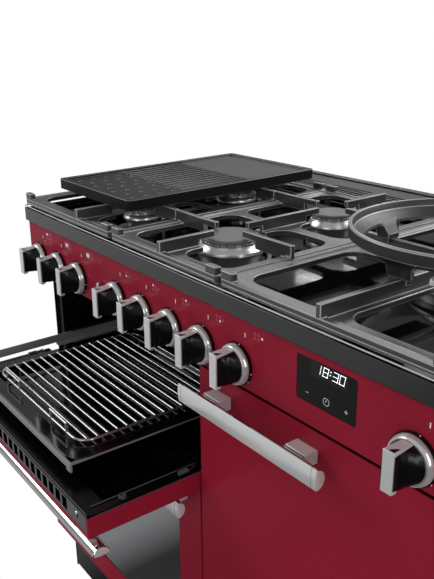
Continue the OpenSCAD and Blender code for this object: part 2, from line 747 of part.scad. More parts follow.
// Wire ladders on the oven walls that the shelves run in
module shelf_guides() place() color(alloy) {
    for (c = [[main_x0, main_z0, main_z1], [tall_x0, tall_z0, tall_z1]],
         s = [0, 1]) {
        x0 = c[0] + 1.5;
        mid = c[0] == main_x0 ? (main_x0 + main_x1) / 2 : (tall_x0 + tall_x1) / 2;
        levels = c[0] == main_x0 ? 3 : 6;
        translate([mid, 0, 0]) mirror([s, 0, 0]) translate([-mid, 0, 0]) {
            for (y = [frame_back + 30, oven_back - 60]) rod_z(x0 + 2.5, y, c[1] + 30, c[2] - 30, 5);
            for (i = [0:levels - 1]) {
                z = c[1] + 48 + i * (c[2] - c[1] - 96) / (levels - 1);
                for (dz = [0, 12]) rod_y(x0 + 7, frame_back + 26, oven_back - 56, z + dz, 5);
            }
        }
    }
}

function guide_z(z0, z1, levels, i) = z0 + 48 + i * (z1 - z0 - 96) / (levels - 1);

// Wire shelf whose side rods slide between two guide wires
module shelf(x0, x1, z, front) {
    y1 = oven_back - 62;
    side = 12;
    wire = 5;
    color(alloy) {
        for (x = [x0 + side, x1 - side]) rod_y(x, front, y1, z, wire);
        for (y = [front, y1]) rod_x(x0 + side, x1 - side, y, z, wire);
        n = floor((x1 - x0 - 2 * side) / 24);
        for (i = [1:n - 1]) rod_y(x0 + side + i * (x1 - x0 - 2 * side) / n, front, y1, z + 3.4, 3);
    }
}

module main_shelf() place() shelf(main_x0, main_x1, guide_z(main_z0, main_z1, 3, 1) + 3.75, frame_back + 22);

module tall_shelf() place() shelf(tall_x0, tall_x1, guide_z(tall_z0, tall_z1, 6, 3) + 3.75, frame_back + 24);

// Handle: a bar with a flat front and a rounded back, on two blocks with dark spacers
module handle(x0, x1, z1, inset) {
    back = handle_out - 13;
    h = handle_h;
    bow = h * 0.6;
    for (s = [0, 1]) translate([(x0 + x1) / 2, 0, 0]) mirror([s, 0, 0]) translate([-(x0 + x1) / 2, 0, 0]) {
        color(steel) box(x0 + inset, x0 + inset + 32, -back + 4, 0, z1 - h + 4, z1 - 6);
        color(charcoal) box(x0 + inset + 3, x0 + inset + 29, -back - 1, -back + 4, z1 - h + 6, z1 - 8);
    }
    color(steel) translate([x0, 0, z1 - h]) rotate([90, 0, 90]) linear_extrude(x1 - x0) intersection() {
        translate([-handle_out, 0]) square([handle_out - back, h]);
        translate([-back - bow, h / 2]) circle(bow, $fn = 96);
        polygon([[-handle_out, 1], [-handle_out + 1, 0], [-back, 0], [-back, h], [-handle_out + 1, h],
            [-handle_out, h - 1]]);
    }
}

// Turns a drop-down door about its pins; angle 90 is fully open
module dropped(z, angle) {
    translate([0, hinge_in, z]) rotate([angle, 0, 0]) translate([0, -hinge_in, -z]) children();
}

module grill_open() { dropped(grill_hinge_z, 90) children(); }

// Door skin: a tray of coloured steel, open at the back
module skin(x0, x1, z0, z1) {
    color(red) difference() {
        box(x0, x1, 0, door_t - 2, z0, z1);
        box(x0 + skin_t, x1 - skin_t, skin_t, door_t, z0 + skin_t, z1 - skin_t);
        children();
    }
}

// Slots in a drop-down door for the frame's ears, each with a hinge pin across it
module ear_slots(z0) {
    for (x = [-half_w + ear_inset, split_l - ear_inset - ear_t])
        box(x - ear_slot_gap, x + ear_t + ear_slot_gap, skin_t, door_t + 1, z0 - 1, z0 + 52);
}

module hinge_pins(z) {
    for (x = [-half_w + ear_inset, split_l - ear_inset - ear_t])
        rod_x(x - 9, x + ear_t + 9, hinge_in, z, pin_d);
}

module grill_door_skin() place() grill_open() {
    skin(-half_w, split_l, grill_bottom, doors_top) {
        ear_slots(grill_bottom);
        translate([-half_w - 1, 0, grill_bottom]) rotate([90, 0, 90]) linear_extrude(left_door_w + 2)
            polygon([[-1, -1], [edge_bevel + 1, -1], [-1, edge_bevel + 1]]);
        box(-half_w + 4, split_l - 4, 7, door_t, doors_top - 5, doors_top + 1);
    }
}

// Black inner pressing: a rim, a sunken floor, a slotted top edge and the hinge blocks
module grill_door_liner() place() grill_open() {
    x0 = -half_w + skin_t + 0.3;
    x1 = split_l - skin_t - 0.3;
    z0 = grill_bottom + skin_t + 0.3;
    z1 = doors_top;
    slots = 20;
    slot_pitch = 20;
    color(enamel) difference() {
        union() {
            box(x0, x1, skin_t + 0.3, door_t, z0, z1 - 5.3);
            box(-half_w + 4.3, split_l - 4.3, 7.3, door_t, z1 - 5.3, z1);
        }
        plate(x0 + 16, x1 - 16, 12, door_t + 1, z0 + 34, z1 - 34, 10);
        for (i = [0:slots - 1]) {
            x = left_mid + (i - (slots - 1) / 2) * slot_pitch;
            box(x - 7, x + 7, 11, door_t - 3, z1 - 26, z1 + 1);
        }
        ear_slots(grill_bottom);
        for (x = [x0 + 26, x1 - 26]) rod_z(x, 20, z1 - 12, z1 + 1, 6);
    }
    color(charcoal) for (x = [x0 + 8, x1 - 8])
        translate([x, door_t + 3, grill_hinge_z + 126]) rotate([90, 0, 0]) cylinder(d = 11, h = 3);
    color(steel) hinge_pins(grill_hinge_z);
    color(steel) for (x = [x0 + 10, x1 - 14]) check_arm(x, grill_hinge_z);
}

// Curved arm that follows the hinge as the door drops
module check_arm(x, z) {
    translate([x, hinge_in, z]) rotate([90, 0, 90])
        rotate_extrude(angle = 104) translate([20.5, 0]) square([6, 4]);
}

module grill_handle() place() grill_open() handle(-half_w + 4, split_l - 4, doors_top - handle_drop, 26);

module main_door_skin() place() skin(-half_w, split_l, doors_bottom, main_top) {
    ear_slots(doors_bottom);
    plate(-half_w + window_border, split_l - window_border, -1, skin_t + 1,
        doors_bottom + window_border - 9, main_top - window_border - 13, 6);
}

// Outer pane behind the skin and inner pane in the liner
module main_door_glass() place() color("#4a4e52") {
    x0 = -half_w + window_border - 8;
    x1 = split_l - window_border + 8;
    z0 = doors_bottom + window_border - 17;
    z1 = main_top - window_border - 5;
    plate(x0, x1, skin_t + 0.3, skin_t + 4.3, z0, z1, 8);
    plate(x0 + 20, x1 - 20, door_t - 5, door_t - 1, z0 + 10, z1 - 14, 8);
}

module main_door_liner() place() {
    x0 = -half_w + skin_t + 0.3;
    x1 = split_l - skin_t - 0.3;
    z0 = doors_bottom + skin_t + 0.3;
    z1 = main_top - skin_t - 0.3;
    gx0 = -half_w + window_border;
    gx1 = split_l - window_border;
    gz0 = doors_bottom + window_border - 9;
    gz1 = main_top - window_border - 13;
    color(enamel) difference() {
        box(x0, x1, skin_t + 4.6, door_t, z0, z1);
        plate(gx0 + 20, gx1 - 20, 0, door_t + 1, gz0 + 10, gz1 - 14, 8);
        plate(gx0 + 11.5, gx1 - 11.5, door_t - 5.3, door_t - 0.7, gz0 + 1.5, gz1 - 5.5, 8.5);
        ear_slots(doors_bottom);
    }
    color(steel) hinge_pins(main_hinge_z);
}

module main_handle() place() handle(-half_w + 4, split_l - 4, main_top - handle_drop, 26);

module tall_door_skin() place() skin(split_r, half_w, doors_bottom, doors_top) tall_pin_room();

// Room round the tall door's hinge pins and brackets
module tall_pin_room() {
    for (z = [doors_bottom - 1, doors_top - 15])
        rod_z(half_w - tall_pin_in, hinge_in, z, z + 16, pin_d + 2 * pin_gap);
}

module tall_door_liner() place() color(enamel) difference() {
    box(split_r + skin_t + 0.3, half_w - skin_t - 0.3, skin_t + 0.3, door_t,
        doors_bottom + skin_t + 0.3, doors_top - skin_t - 0.3);
    plate(tall_x0 + 30, tall_x1 - 30, 24, door_t + 1, tall_z0 + 30, tall_z1 - 30, 20);
    tall_pin_room();
}

module tall_handle() place() {
    x0 = split_r + 0.5;
    handle(x0, x0 + tall_handle_w, doors_top - tall_handle_drop, 33);
}

// Sliding frame that carries the grill pan: arms in the runners, a cross bar and a front strip
module grill_carriage() place() {
    z = pan_z - 2;
    x0 = grill_x0 + 3 + arm_gap;
    x1 = grill_x1 - 3 - arm_gap;
    back = pan_back + 28;
    px0 = pan_mid - pan_w / 2;
    px1 = pan_mid + pan_w / 2;
    for (a = [[x0, -pan_out + 10, x0], [x1 - arm_w, frame_y - 20, x1 - 1.5]]) color(steel) {
        box(a[2], a[2] + 1.5, a[1], back, z + 4, z + arm_h);
        box(a[2], a[2] + 1.5, frame_y - 20, back, z, z + arm_h);
        box(a[0], a[0] + arm_w, frame_y - 20, back, z, z + 1.5);
    }
    color(charcoal) box(x0 + 1, x1 - 1, back - 14, back, z + 1, z + 5);
    color(steel) {
        for (x = [px0 + 2, px1 - 5]) box(x, x + 3, -pan_out - 1, back - 1, pan_z + 8, pan_z + pan_h - 2);
        for (x = [px0 + 2, px1 - 5]) box(x, x + 3, back - 4, back - 1, z + 5, pan_z + 8);
        box(px0 - 2, px1 + 2, -pan_out - 4.5, -pan_out - 1, pan_z + pan_h - 9, pan_z + pan_h);
        for (x = [px0 - 2, px1 - 10]) box(x, x + 12, -pan_out - 4.5, -pan_out - 1, pan_z + 0.3, pan_z + pan_h - 9);
    }
}

// Enamelled pan with a wide flange and a sunken floor
module grill_pan() place() color(enamel) difference() {
    x0 = pan_mid - pan_w / 2;
    x1 = pan_mid + pan_w / 2;
    y0 = -pan_out;
    y1 = pan_back;
    union() {
        flat(x0, x1, y0, y1, pan_z + pan_h - 2, pan_z + pan_h, 26);
        flat(x0 + pan_rim - 2, x1 - pan_rim + 2, y0 + pan_rim - 2, y1 - pan_rim + 2, pan_z + 1, pan_z + pan_h, 24);
    }
    flat(x0 + pan_rim, x1 - pan_rim, y0 + pan_rim, y1 - pan_rim, pan_z + 2.5, pan_z + pan_h + 1, 22);
}

// Wire rack: cross wires on a rounded frame, with feet and two raised loops in front
module grill_rack() place() color(alloy) {
    x0 = pan_mid - pan_w / 2 + pan_rim + 6;
    x1 = pan_mid + pan_w / 2 - pan_rim - 6;
    y0 = -pan_out + pan_rim + 5;
    y1 = pan_back - pan_rim - 5;
    z = pan_z + pan_h + 5;
    w = rack_wire;
    r = 24;
    for (x = [x0, x1]) rod_y(x, y0 + r, y1 - r, z, w);
    for (y = [y0, y1]) rod_x(x0 + r, x1 - r, y, z, w);
    for (c = [[x0 + r, y0 + r, 180], [x1 - r, y0 + r, 270], [x1 - r, y1 - r, 0], [x0 + r, y1 - r, 90]])
        translate([c[0], c[1], z]) rotate(c[2]) rotate_extrude(angle = 90) translate([r, 0]) circle(d = w);
    for (i = [0:rack_wires - 1]) {
        y = y0 + 13 + i * (y1 - y0 - 26) / (rack_wires - 1);
        end = i == 0 || i == rack_wires - 1 ? 3.6 : 0.8;
        rod_x(x0 + end, x1 - end, y, z + w * 0.4, w * 0.85);
    }
    for (x = [x0, x1], y = [y0 + 37, y1 - 37]) rod_z(x, y, pan_z + 2.8, z, w * 0.75);
    for (x = [x0 + 40, x1 - 90]) {
        for (dx = [0, 50]) rod_z(x + dx, y0, z, z + 14, w);
        rod_x(x - w / 2, x + 50 + w / 2, y0, z + 14, w);
    }
}

// Storage drawer in the base, with a black front and a finger lip along its top edge
module storage_drawer() place() color(enamel) {
    x0 = -half_w + 5;
    x1 = split_l - 3;
    z0 = base_z + 5;
    z1 = base_top - 3;
    y0 = base_setback;
    y1 = depth - 60;
    difference() {
        box(x0 + 12, x1 - 12, y0 + 16, y1, z0 + 4, z1 - 14);
        box(x0 + 14, x1 - 14, y0 + 18, y1 - 2, z0 + 6, z1);
    }
    difference() {
        box(x0, x1, y0, y0 + 16, z0, z1);
        box(x0 + 60, x1 - 60, y0 + 3, y0 + 15, z1 - 16, z1 + 1);
    }
}

chassis();
side_panels();
back_panel();
plinth();
levelling_feet();
hob_tray();
hob_trim();
flue_vent();
control_panel();
clock_glass();
knob_bezels();
knob_rings();
gas_rail();
gas_taps();
union() {
    rotary_switches();
    button_switch();
}
burner_bases();
burner_caps();
spark_plugs();
grate_left();
grate_centre();
grate_right();
grill_cavity();
main_cavity();
tall_cavity();
grill_element();
grill_runners();
fan_baffles();
fan_motors();
door_seals();
shelf_guides();
griddle();
wok_ring();
light_button();
knob(0);  // knob_1
knob(1);  // knob_2
knob(2);  // knob_3
knob(3);  // knob_4
knob(4);  // knob_5
knob(5);  // knob_6
knob(6);  // knob_7
knob(7);  // knob_8
knob(8);  // knob_9
grill_door_skin();
grill_door_liner();
grill_handle();
main_door_skin();
main_door_glass();
main_door_liner();
main_handle();
tall_door_skin();
tall_door_liner();
tall_handle();
grill_carriage();
grill_pan();
grill_rack();
main_shelf();
tall_shelf();
main_fan();
tall_fan();
storage_drawer();
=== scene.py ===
"""Finishes and fittings of a free-standing range cooker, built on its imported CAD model."""

import json
import math

import bmesh
import bpy
from mathutils import Matrix, Vector
from mathutils.bvhtree import BVHTree


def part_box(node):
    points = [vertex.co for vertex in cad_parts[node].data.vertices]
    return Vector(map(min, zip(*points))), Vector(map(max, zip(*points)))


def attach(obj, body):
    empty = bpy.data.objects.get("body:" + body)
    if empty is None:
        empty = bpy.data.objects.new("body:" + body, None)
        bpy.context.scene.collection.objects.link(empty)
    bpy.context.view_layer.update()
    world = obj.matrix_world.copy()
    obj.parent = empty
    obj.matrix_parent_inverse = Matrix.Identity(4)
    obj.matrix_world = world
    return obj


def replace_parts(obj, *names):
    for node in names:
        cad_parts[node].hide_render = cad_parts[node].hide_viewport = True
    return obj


bl_info = {
    "name": "Range Cooker Finish",
    "version": (1, 0, 0),
    "blender": (4, 5, 0),
    "location": "3D View > Sidebar > Cooker",
    "description": "Dresses a range cooker's CAD parts with fittings, finishes and a studio",
    "category": "Object",
}

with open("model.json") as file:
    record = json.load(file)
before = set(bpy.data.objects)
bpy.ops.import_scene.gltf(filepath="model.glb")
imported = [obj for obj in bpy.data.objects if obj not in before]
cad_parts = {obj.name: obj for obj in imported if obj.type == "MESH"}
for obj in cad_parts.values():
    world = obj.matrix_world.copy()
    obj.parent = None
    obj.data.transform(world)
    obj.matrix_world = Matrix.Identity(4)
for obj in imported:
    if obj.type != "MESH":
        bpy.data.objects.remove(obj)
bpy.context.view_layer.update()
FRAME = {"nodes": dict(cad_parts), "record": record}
MM = 0.001

# Places that the fittings are set out from, read from the CAD parts
PANEL_LOW, PANEL_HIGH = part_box("control_panel")
FACE_Y = PANEL_LOW[1]
RING_LOW, RING_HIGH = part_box("knob_rings")
KNOB_Z = (RING_LOW[2] + RING_HIGH[2]) / 2
KNOBS = ["knob_%d" % (i + 1) for i in range(9)]

# Profile of the rings behind the knobs: radius, and distance out from the panel
RING_PROFILE = ((0.0188, 0), (0.0260, 0), (0.0261, 0.0010), (0.0259, 0.0022), (0.0253, 0.0042),
                (0.0244, 0.0060), (0.0236, 0.0068), (0.0226, 0.0070), (0.0219, 0.0066), (0.0188, 0.0060),
                (0.0188, 0))
# Profile of the rubber bumpers on the dropped door: radius and height
BUMPER_PROFILE = ((0.0056, -0.0002), (0.0058, 0.001), (0.0050, 0.0040), (0.0042, 0.0046),
                  (0.0030, 0.0044), (0.0026, 0.0030))
# Section of the handle bars, as distances in from their face and up from their lower edge
BAR_DEEP = 0.013
BAR_HALF = 0.013
BAR_SECTION = ((0.0016, 0.0004), (0.0026, 0), (0.0046, 0.0004), (0.0082, 0.0022), (0.0112, 0.0054),
               (0.0128, 0.0095), (0.013, 0.013), (0.0128, 0.0165), (0.0112, 0.0206), (0.0082, 0.0238),
               (0.0046, 0.0256), (0.0026, 0.026), (0.0016, 0.0256), (0.0008, 0.0222), (0.0002, 0.0172),
               (0, 0.013), (0.0002, 0.0088), (0.0008, 0.0038))
# How far printed marks stand off the panel, and a fill over them
INK = 0.00012
INK_OVER = 0.00013
# Segments of the clock's digits, by letter from the top clockwise, with g in the middle
SEGMENTS = {
    "0": "abcdef", "1": "bc", "2": "abged", "3": "abgcd", "4": "fgbc", "5": "afgcd",
    "6": "afgedc", "7": "abc", "8": "abcdefg", "9": "abcdfg"}
# The photo's size, and where the lens axis meets it, in its pixels
PHOTO_WIDE, PHOTO_HIGH = 434, 579
AXIS_X, AXIS_Y = 181.5, 281.9
# Lamps: name, place, aim, width, height and watts
LAMPS = (
    ("Left softbox", (-2.4, -1.6, 2.4), (0, 0, 0.8), 1.6, 1.6, 34),
    ("Front softbox", (1.2, -3.2, 1.5), (0, 0, 0.7), 1.8, 1.2, 16),
    ("Back softbox", (0.6, 2.2, 2.6), (0, 0, 0.9), 2.4, 1.2, 46),
    ("Right strip", (2.6, -0.3, 1.6), (0.3, -0.3, 0.8), 0.5, 1.8, 10),
    ("Backdrop", (-2.2, 2.4, 3.1), (0, 0.1, 0.95), 2.4, 0.9, 22),
    ("Near strip", (-2.52, 2.64, 2.19), (0.14, -0.07, 0.9), 0.3, 0.04, 0.4),
    ("Far strip", (-2.36, 2.92, 2.11), (0.13, 0.02, 0.9), 0.3, 0.04, 0.4),
)


def middle_x(node):
    """The middle of a CAD part, from left to right."""
    low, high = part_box(node)
    return (low[0] + high[0]) / 2


def linear(code):
    """Turns an sRGB hex colour into the linear RGBA that a shader reads."""
    parts = [int(code[i:i + 2], 16) / 255 for i in (1, 3, 5)]
    return [c / 12.92 if c <= 0.04045 else ((c + 0.055) / 1.055) ** 2.4 for c in parts] + [1.0]


def add(tree, kind, settings=None, links=None):
    """Adds a node with its settings, by property or input name, and its incoming links."""
    node = tree.nodes.new(kind)
    for name, value in (settings or {}).items():
        if isinstance(name, str) and hasattr(node, name):
            setattr(node, name, value)
        else:
            node.inputs[name].default_value = value
    for name, socket in (links or {}).items():
        tree.links.new(socket, node.inputs[name])
    return node


def finish(name, colour, settings, zones=None, **grain):
    """Makes a material of one Principled shader with its grain, the first time that it is asked for."""
    material = bpy.data.materials.get(name)
    if material:
        return material
    material = bpy.data.materials.new(name)
    material.diffuse_color = linear(colour)
    material.use_nodes = True
    tree = material.node_tree
    tree.nodes.clear()
    shader = add(tree, "ShaderNodeBsdfPrincipled", {"Base Color": linear(colour), **settings})
    add(tree, "ShaderNodeOutputMaterial", links={"Surface": shader.outputs["BSDF"]})
    noise = texture(tree, shader, **grain)
    if zones:
        zones(tree, shader, noise)
    return material


def texture(tree, shader, size_mm, bump_mm=0.0, colours=None, rough=None, stretch=(1, 1, 1)):
    """Feeds noise of a real size to a shader's bump, colour or roughness, and returns the noise."""
    spot = add(tree, "ShaderNodeTexCoord")
    mapping = add(tree, "ShaderNodeMapping", {"Scale": stretch}, {"Vector": spot.outputs["Object"]})
    noise = add(tree, "ShaderNodeTexNoise", {"Scale": 1 / (size_mm * MM), "Detail": 3, "Roughness": 0.55},
                {"Vector": mapping.outputs["Vector"]})
    if bump_mm:
        bump = add(tree, "ShaderNodeBump", {"Strength": 1.0, "Distance": bump_mm * MM},
                   {"Height": noise.outputs["Fac"]})
        tree.links.new(bump.outputs["Normal"], shader.inputs["Normal"])
    if colours:
        ramp = add(tree, "ShaderNodeValToRGB", links={"Fac": noise.outputs["Fac"]})
        for stop, position, colour in zip(ramp.color_ramp.elements, (0.3, 0.7), colours):
            stop.position = position
            stop.color = linear(colour)
        tree.links.new(ramp.outputs["Color"], shader.inputs["Base Color"])
    if rough:
        spread = add(tree, "ShaderNodeMapRange", {"To Min": rough[0], "To Max": rough[1]},
                     {"Value": noise.outputs["Fac"]})
        tree.links.new(spread.outputs["Result"], shader.inputs["Roughness"])
    return noise


# Stoved gloss enamel on steel: deep red under a clear top layer, with a faint orange peel
def red_enamel():
    colour = bpy.context.scene.cooker_finish.door_colour
    return finish("Stoved red enamel", colour, {"Roughness": 0.34, "IOR": 1.5, "Specular IOR Level": 0.08},
                  size_mm=3.0, bump_mm=0.008)


# Vitreous enamel, fired black glass on steel: sharp highlights and a very slight ripple
def black_enamel():
    return finish("Vitreous black enamel", "#090909",
                  {"Roughness": 0.1, "IOR": 1.45, "Coat Weight": 0.25, "Coat Roughness": 0.05},
                  size_mm=6.0, bump_mm=0.015)


# Black powder coat on inner door and base panels: half gloss with a fine grain
def black_powder_coat():
    return finish("Black powder coat", "#121213", {"Roughness": 0.36, "IOR": 1.5},
                  size_mm=0.9, bump_mm=0.02, rough=(0.3, 0.42))


# Satin charcoal paint on the trim round the hob: a dark metallic coat with a broad, soft sheen
def charcoal_paint():
    return finish("Satin charcoal paint", "#5a5a5c", {"Metallic": 0.88, "Roughness": 0.26},
                  size_mm=1.2, bump_mm=0.006, rough=(0.22, 0.3))


# Enamelled cast iron: the sand grain of the casting shows through a satin dark grey coat. The grain
# is finer than this on a real casting, and would be lost from where the cooker is seen
def cast_iron():
    return finish("Enamelled cast iron", "#2e2f31",
                  {"Roughness": 0.34, "IOR": 1.9, "Coat Weight": 0.2, "Coat Roughness": 0.2},
                  size_mm=1.6, bump_mm=0.02, colours=("#2a2b2d", "#323335"))


# The wok ring's casting, a shade darker and more matt than the pan supports
def ring_iron():
    return finish("Matt enamelled cast iron", "#242526", {"Roughness": 0.42, "IOR": 1.6},
                  size_mm=1.8, bump_mm=0.05, colours=("#202122", "#28292b"))


# Rounded edges of the castings, brighter than the flats: a painted highlight
def edge_highlight_iron():
    return finish("Iron edge with painted highlight", "#a2a3a6",
                  {"Roughness": 0.3, "IOR": 1.6, "Coat Weight": 0.4, "Coat Roughness": 0.2},
                  size_mm=1.6, bump_mm=0.02, colours=("#999a9d", "#acadb0"))


def pale_rear_bed(tree, shader, noise):
    """Pales the griddle's smooth rear bed against its dimpled front and its ribs."""
    low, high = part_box("griddle")
    rim = 0.006
    bed = low[1] + 0.665 * (high[1] - low[1])
    spot = add(tree, "ShaderNodeTexCoord")
    split = add(tree, "ShaderNodeSeparateXYZ", links={0: spot.outputs["Object"]})
    pale_zone = None
    for axis, kind, limit in ((1, "GREATER_THAN", bed), (1, "LESS_THAN", high[1] - rim),
                              (0, "GREATER_THAN", low[0] + rim), (0, "LESS_THAN", high[0] - rim)):
        test = add(tree, "ShaderNodeMath", {"operation": kind, 1: limit}, {0: split.outputs[axis]})
        if pale_zone:
            test = add(tree, "ShaderNodeMath", {"operation": "MULTIPLY"},
                       {0: pale_zone.outputs[0], 1: test.outputs[0]})
        pale_zone = test
    grain = add(tree, "ShaderNodeMapRange", {"To Min": 0.8, "To Max": 1.2}, {"Value": noise.outputs["Fac"]})
    shade = add(tree, "ShaderNodeMapRange", {"To Min": 0.004, "To Max": 0.075}, {"Value": pale_zone.outputs[0]})
    tint = add(tree, "ShaderNodeMath", {"operation": "MULTIPLY"},
               {0: grain.outputs["Result"], 1: shade.outputs["Result"]})
    tree.links.new(tint.outputs[0], shader.inputs["Base Color"])


# Griddle iron: blacker and more matt than the pan supports, with a seasoned grain
def griddle_iron():
    return finish("Seasoned griddle iron", "#151516", {"Roughness": 0.5, "IOR": 1.3}, pale_rear_bed,
                  size_mm=1.2, bump_mm=0.04)


# Rounded edges of the griddle's rim, ribs and dimples, paler than the iron: a painted highlight
def griddle_edge_highlight():
    return finish("Griddle edge with painted highlight", "#67686a", {"Roughness": 0.35, "IOR": 1.6},
                  size_mm=1.2, bump_mm=0.02, colours=("#606163", "#6e6f71"))


# Chrome plate, polished: nearly a mirror, with faint wiping marks in its roughness
def polished_chrome():
    return finish("Polished chrome", "#d2d3d5", {"Metallic": 1.0, "Roughness": 0.07},
                  size_mm=12.0, rough=(0.05, 0.1))


# Satin chrome of the handle bars, brushed along the bar before plating: its sheen varies in lines
# along the bar. Real brush lines are too fine to show, so they are coarser here
def satin_chrome():
    return finish("Satin chrome", "#f4f5f6", {"Metallic": 0.5, "Roughness": 0.18},
                  size_mm=1.2, rough=(0.17, 0.23), stretch=(0.02, 1, 1))


# Silver plate on mouldings: a metal look that scatters more light than true chrome
def silver_plate():
    return finish("Silver plated moulding", "#e6e7e8", {"Metallic": 0.4, "Roughness": 0.26},
                  size_mm=1.4, rough=(0.26, 0.34), stretch=(1, 1, 0.05))


# Chrome plated rings behind the knobs, polished on a moulding: bright, with slightly softened lights
def plated_ring():
    return finish("Chrome plated ring", "#f0f1f3", {"Metallic": 0.65, "Roughness": 0.16},
                  size_mm=6.0, rough=(0.13, 0.2))


# Chrome plated wire of the rack, greyed by heat: a mirror that has lost some of its whiteness
def rack_chrome():
    return finish("Heat greyed chrome", "#b4b6b9", {"Metallic": 0.85, "Roughness": 0.12},
                  size_mm=5.0, rough=(0.1, 0.16))


# Plated steel strip of the grill pan's carriage: flat grey with a soft sheen
def pressed_steel():
    return finish("Plated carriage steel", "#9a9c9e", {"Metallic": 0.15, "Roughness": 0.36},
                  size_mm=3.0, rough=(0.32, 0.4))


# Black enamel of the hob tray, which gives back lamps but little of the room
def deep_enamel():
    return finish("Deep black enamel", "#060607", {"Roughness": 0.07, "IOR": 1.22},
                  size_mm=12.0, bump_mm=0.012, rough=(0.05, 0.1))


# Black enamel of the grill door's inside, dulled by use: it gives back only a little of the room
def worn_enamel():
    return finish("Dulled black enamel", "#08080a",
                  {"Roughness": 0.24, "IOR": 1.5, "Specular IOR Level": 0.14},
                  size_mm=5.0, bump_mm=0.015, rough=(0.2, 0.3))


# Dark grey half gloss enamel of the grill door's slotted top edge, paler than the inside behind it
def half_gloss():
    return finish("Dark grey half gloss", "#4a4a4d", {"Roughness": 0.3, "IOR": 1.7},
                  size_mm=3.0, bump_mm=0.01, rough=(0.26, 0.34))


# Bare steel edges, darkened by heat: dull grey, with soft lights. The light lines on the dropped door's liner
# are in it too, as painted highlights
def heated_steel():
    return finish("Heat darkened steel", "#5a5c5d", {"Metallic": 0.4, "Roughness": 0.45},
                  size_mm=2.0, bump_mm=0.01, rough=(0.4, 0.52))


# Grey rubber of the door's bumpers, moulded: dull all over
def bumper_rubber():
    return finish("Grey bumper rubber", "#3c3d3e", {"Roughness": 0.6, "IOR": 1.5},
                  size_mm=0.8, bump_mm=0.02)


# Bright zinc plate on hidden sheet and pressed parts, with its cloudy spangle
def zinc_plate():
    return finish("Zinc plated sheet", "#a3a5a8", {"Metallic": 1.0, "Roughness": 0.36},
                  size_mm=8.0, colours=("#96989b", "#adafb2"), rough=(0.3, 0.44))


# Burner heads, turned from cast aluminium: pale metal with a satin face
def turned_aluminium():
    return finish("Turned aluminium", "#e2e3e4", {"Metallic": 0.9, "Roughness": 0.3},
                  size_mm=1.0, bump_mm=0.004, rough=(0.26, 0.34))


# Burner caps, pressed steel under mid grey enamel: satin, and slightly clouded
def cap_enamel():
    return finish("Grey cap enamel", "#5c5d5f", {"Roughness": 0.4, "IOR": 1.5},
                  size_mm=0.8, bump_mm=0.006, colours=("#585959", "#626365"))


# Machined brass of the gas taps: yellow, and brighter where the tool ran finer
def machined_brass():
    return finish("Machined brass", "#b8964c", {"Metallic": 1.0, "Roughness": 0.25},
                  size_mm=1.5, rough=(0.2, 0.34))


# Heat-proof cream moulding of the switches: half matt, with a faint grain
def cream_moulding():
    return finish("Cream phenolic moulding", "#cfc8b6", {"Roughness": 0.48, "IOR": 1.5},
                  size_mm=1.0, bump_mm=0.01)


# Glazed ceramic of the spark plugs: off-white, with small clear highlights
def glazed_ceramic():
    return finish("Glazed ceramic", "#e7e4dc", {"Roughness": 0.15, "IOR": 1.52},
                  size_mm=4.0, rough=(0.12, 0.2))


# Nickel alloy sheath of the grill element, oxidised by heat: brown and dull, in uneven patches
def oxidised_sheath():
    return finish("Oxidised nickel sheath", "#57483f", {"Metallic": 0.8, "Roughness": 0.5},
                  size_mm=14.0, colours=("#3f3733", "#6b584b"))


# Silicone door seal, extruded: dull black that hardly mirrors anything
def silicone_rubber():
    return finish("Black silicone rubber", "#1b1b1c", {"Roughness": 0.6, "IOR": 1.43},
                  size_mm=0.8, bump_mm=0.02)


# Soft-touch black moulding of the knobs: half matt, with a spark-eroded grain that is drawn coarser
# than a real one
def knob_moulding():
    return finish("Black knob moulding", "#0e0e0f", {"Roughness": 0.24, "IOR": 1.4},
                  size_mm=0.6, bump_mm=0.004, rough=(0.2, 0.28))


# Dark grey moulding between a handle bar and its mounts: half matt, so that the bar stands out
def spacer_moulding():
    return finish("Dark grey spacer moulding", "#3a3b3c", {"Roughness": 0.45, "IOR": 1.5},
                  size_mm=0.6, bump_mm=0.01)


# Tinted oven glass with a reflecting coat: it mirrors the room and lets the oven show dimly
def tinted_glass():
    return finish("Tinted oven glass", "#b9bcc0",
                  {"Metallic": 0.8, "Roughness": 0.03, "Transmission Weight": 0.5, "Coat Weight": 0.5,
                   "Coat Roughness": 0.02},
                  size_mm=40.0, rough=(0.02, 0.05))


# Black glass over the clock: deep black, with a clear but weak reflection
def clock_glass():
    return finish("Black clock glass", "#0b0b0c",
                  {"Roughness": 0.08, "IOR": 1.52, "Specular IOR Level": 0.28},
                  size_mm=30.0, rough=(0.06, 0.11))


# The clock's display window, a shade lighter than the glass round it
def display_window():
    return finish("Clock display window", "#1c1d1f",
                  {"Roughness": 0.2, "IOR": 1.5, "Specular IOR Level": 0.3},
                  size_mm=8.0, rough=(0.16, 0.24))


# Screen-printed white marks, baked on: flat and without gloss
def printed_white():
    return finish("Printed white marks", "#e9e6e4", {"Roughness": 0.5},
                  size_mm=1.0, rough=(0.45, 0.55))


# Faint printed plans and rings: a thinner ink that lets the red show
def printed_pink():
    return finish("Thin printed marks", "#b9848c", {"Roughness": 0.5},
                  size_mm=1.0, rough=(0.45, 0.55))


# Lit segments of the clock, behind the glass: an even, cool white of their own
def lit_segment():
    return finish("Lit clock segment", "#f4f6f8",
                  {"Roughness": 0.4, "Emission Color": linear("#f4f6f8"), "Emission Strength": 0.9},
                  size_mm=2.0, rough=(0.35, 0.45))


def body_of(node):
    """The body that a CAD node moves with."""
    for body, members in FRAME["record"]["behaviour"]["bodies"].items():
        if node in members:
            return body
    raise ValueError("no body holds " + node)


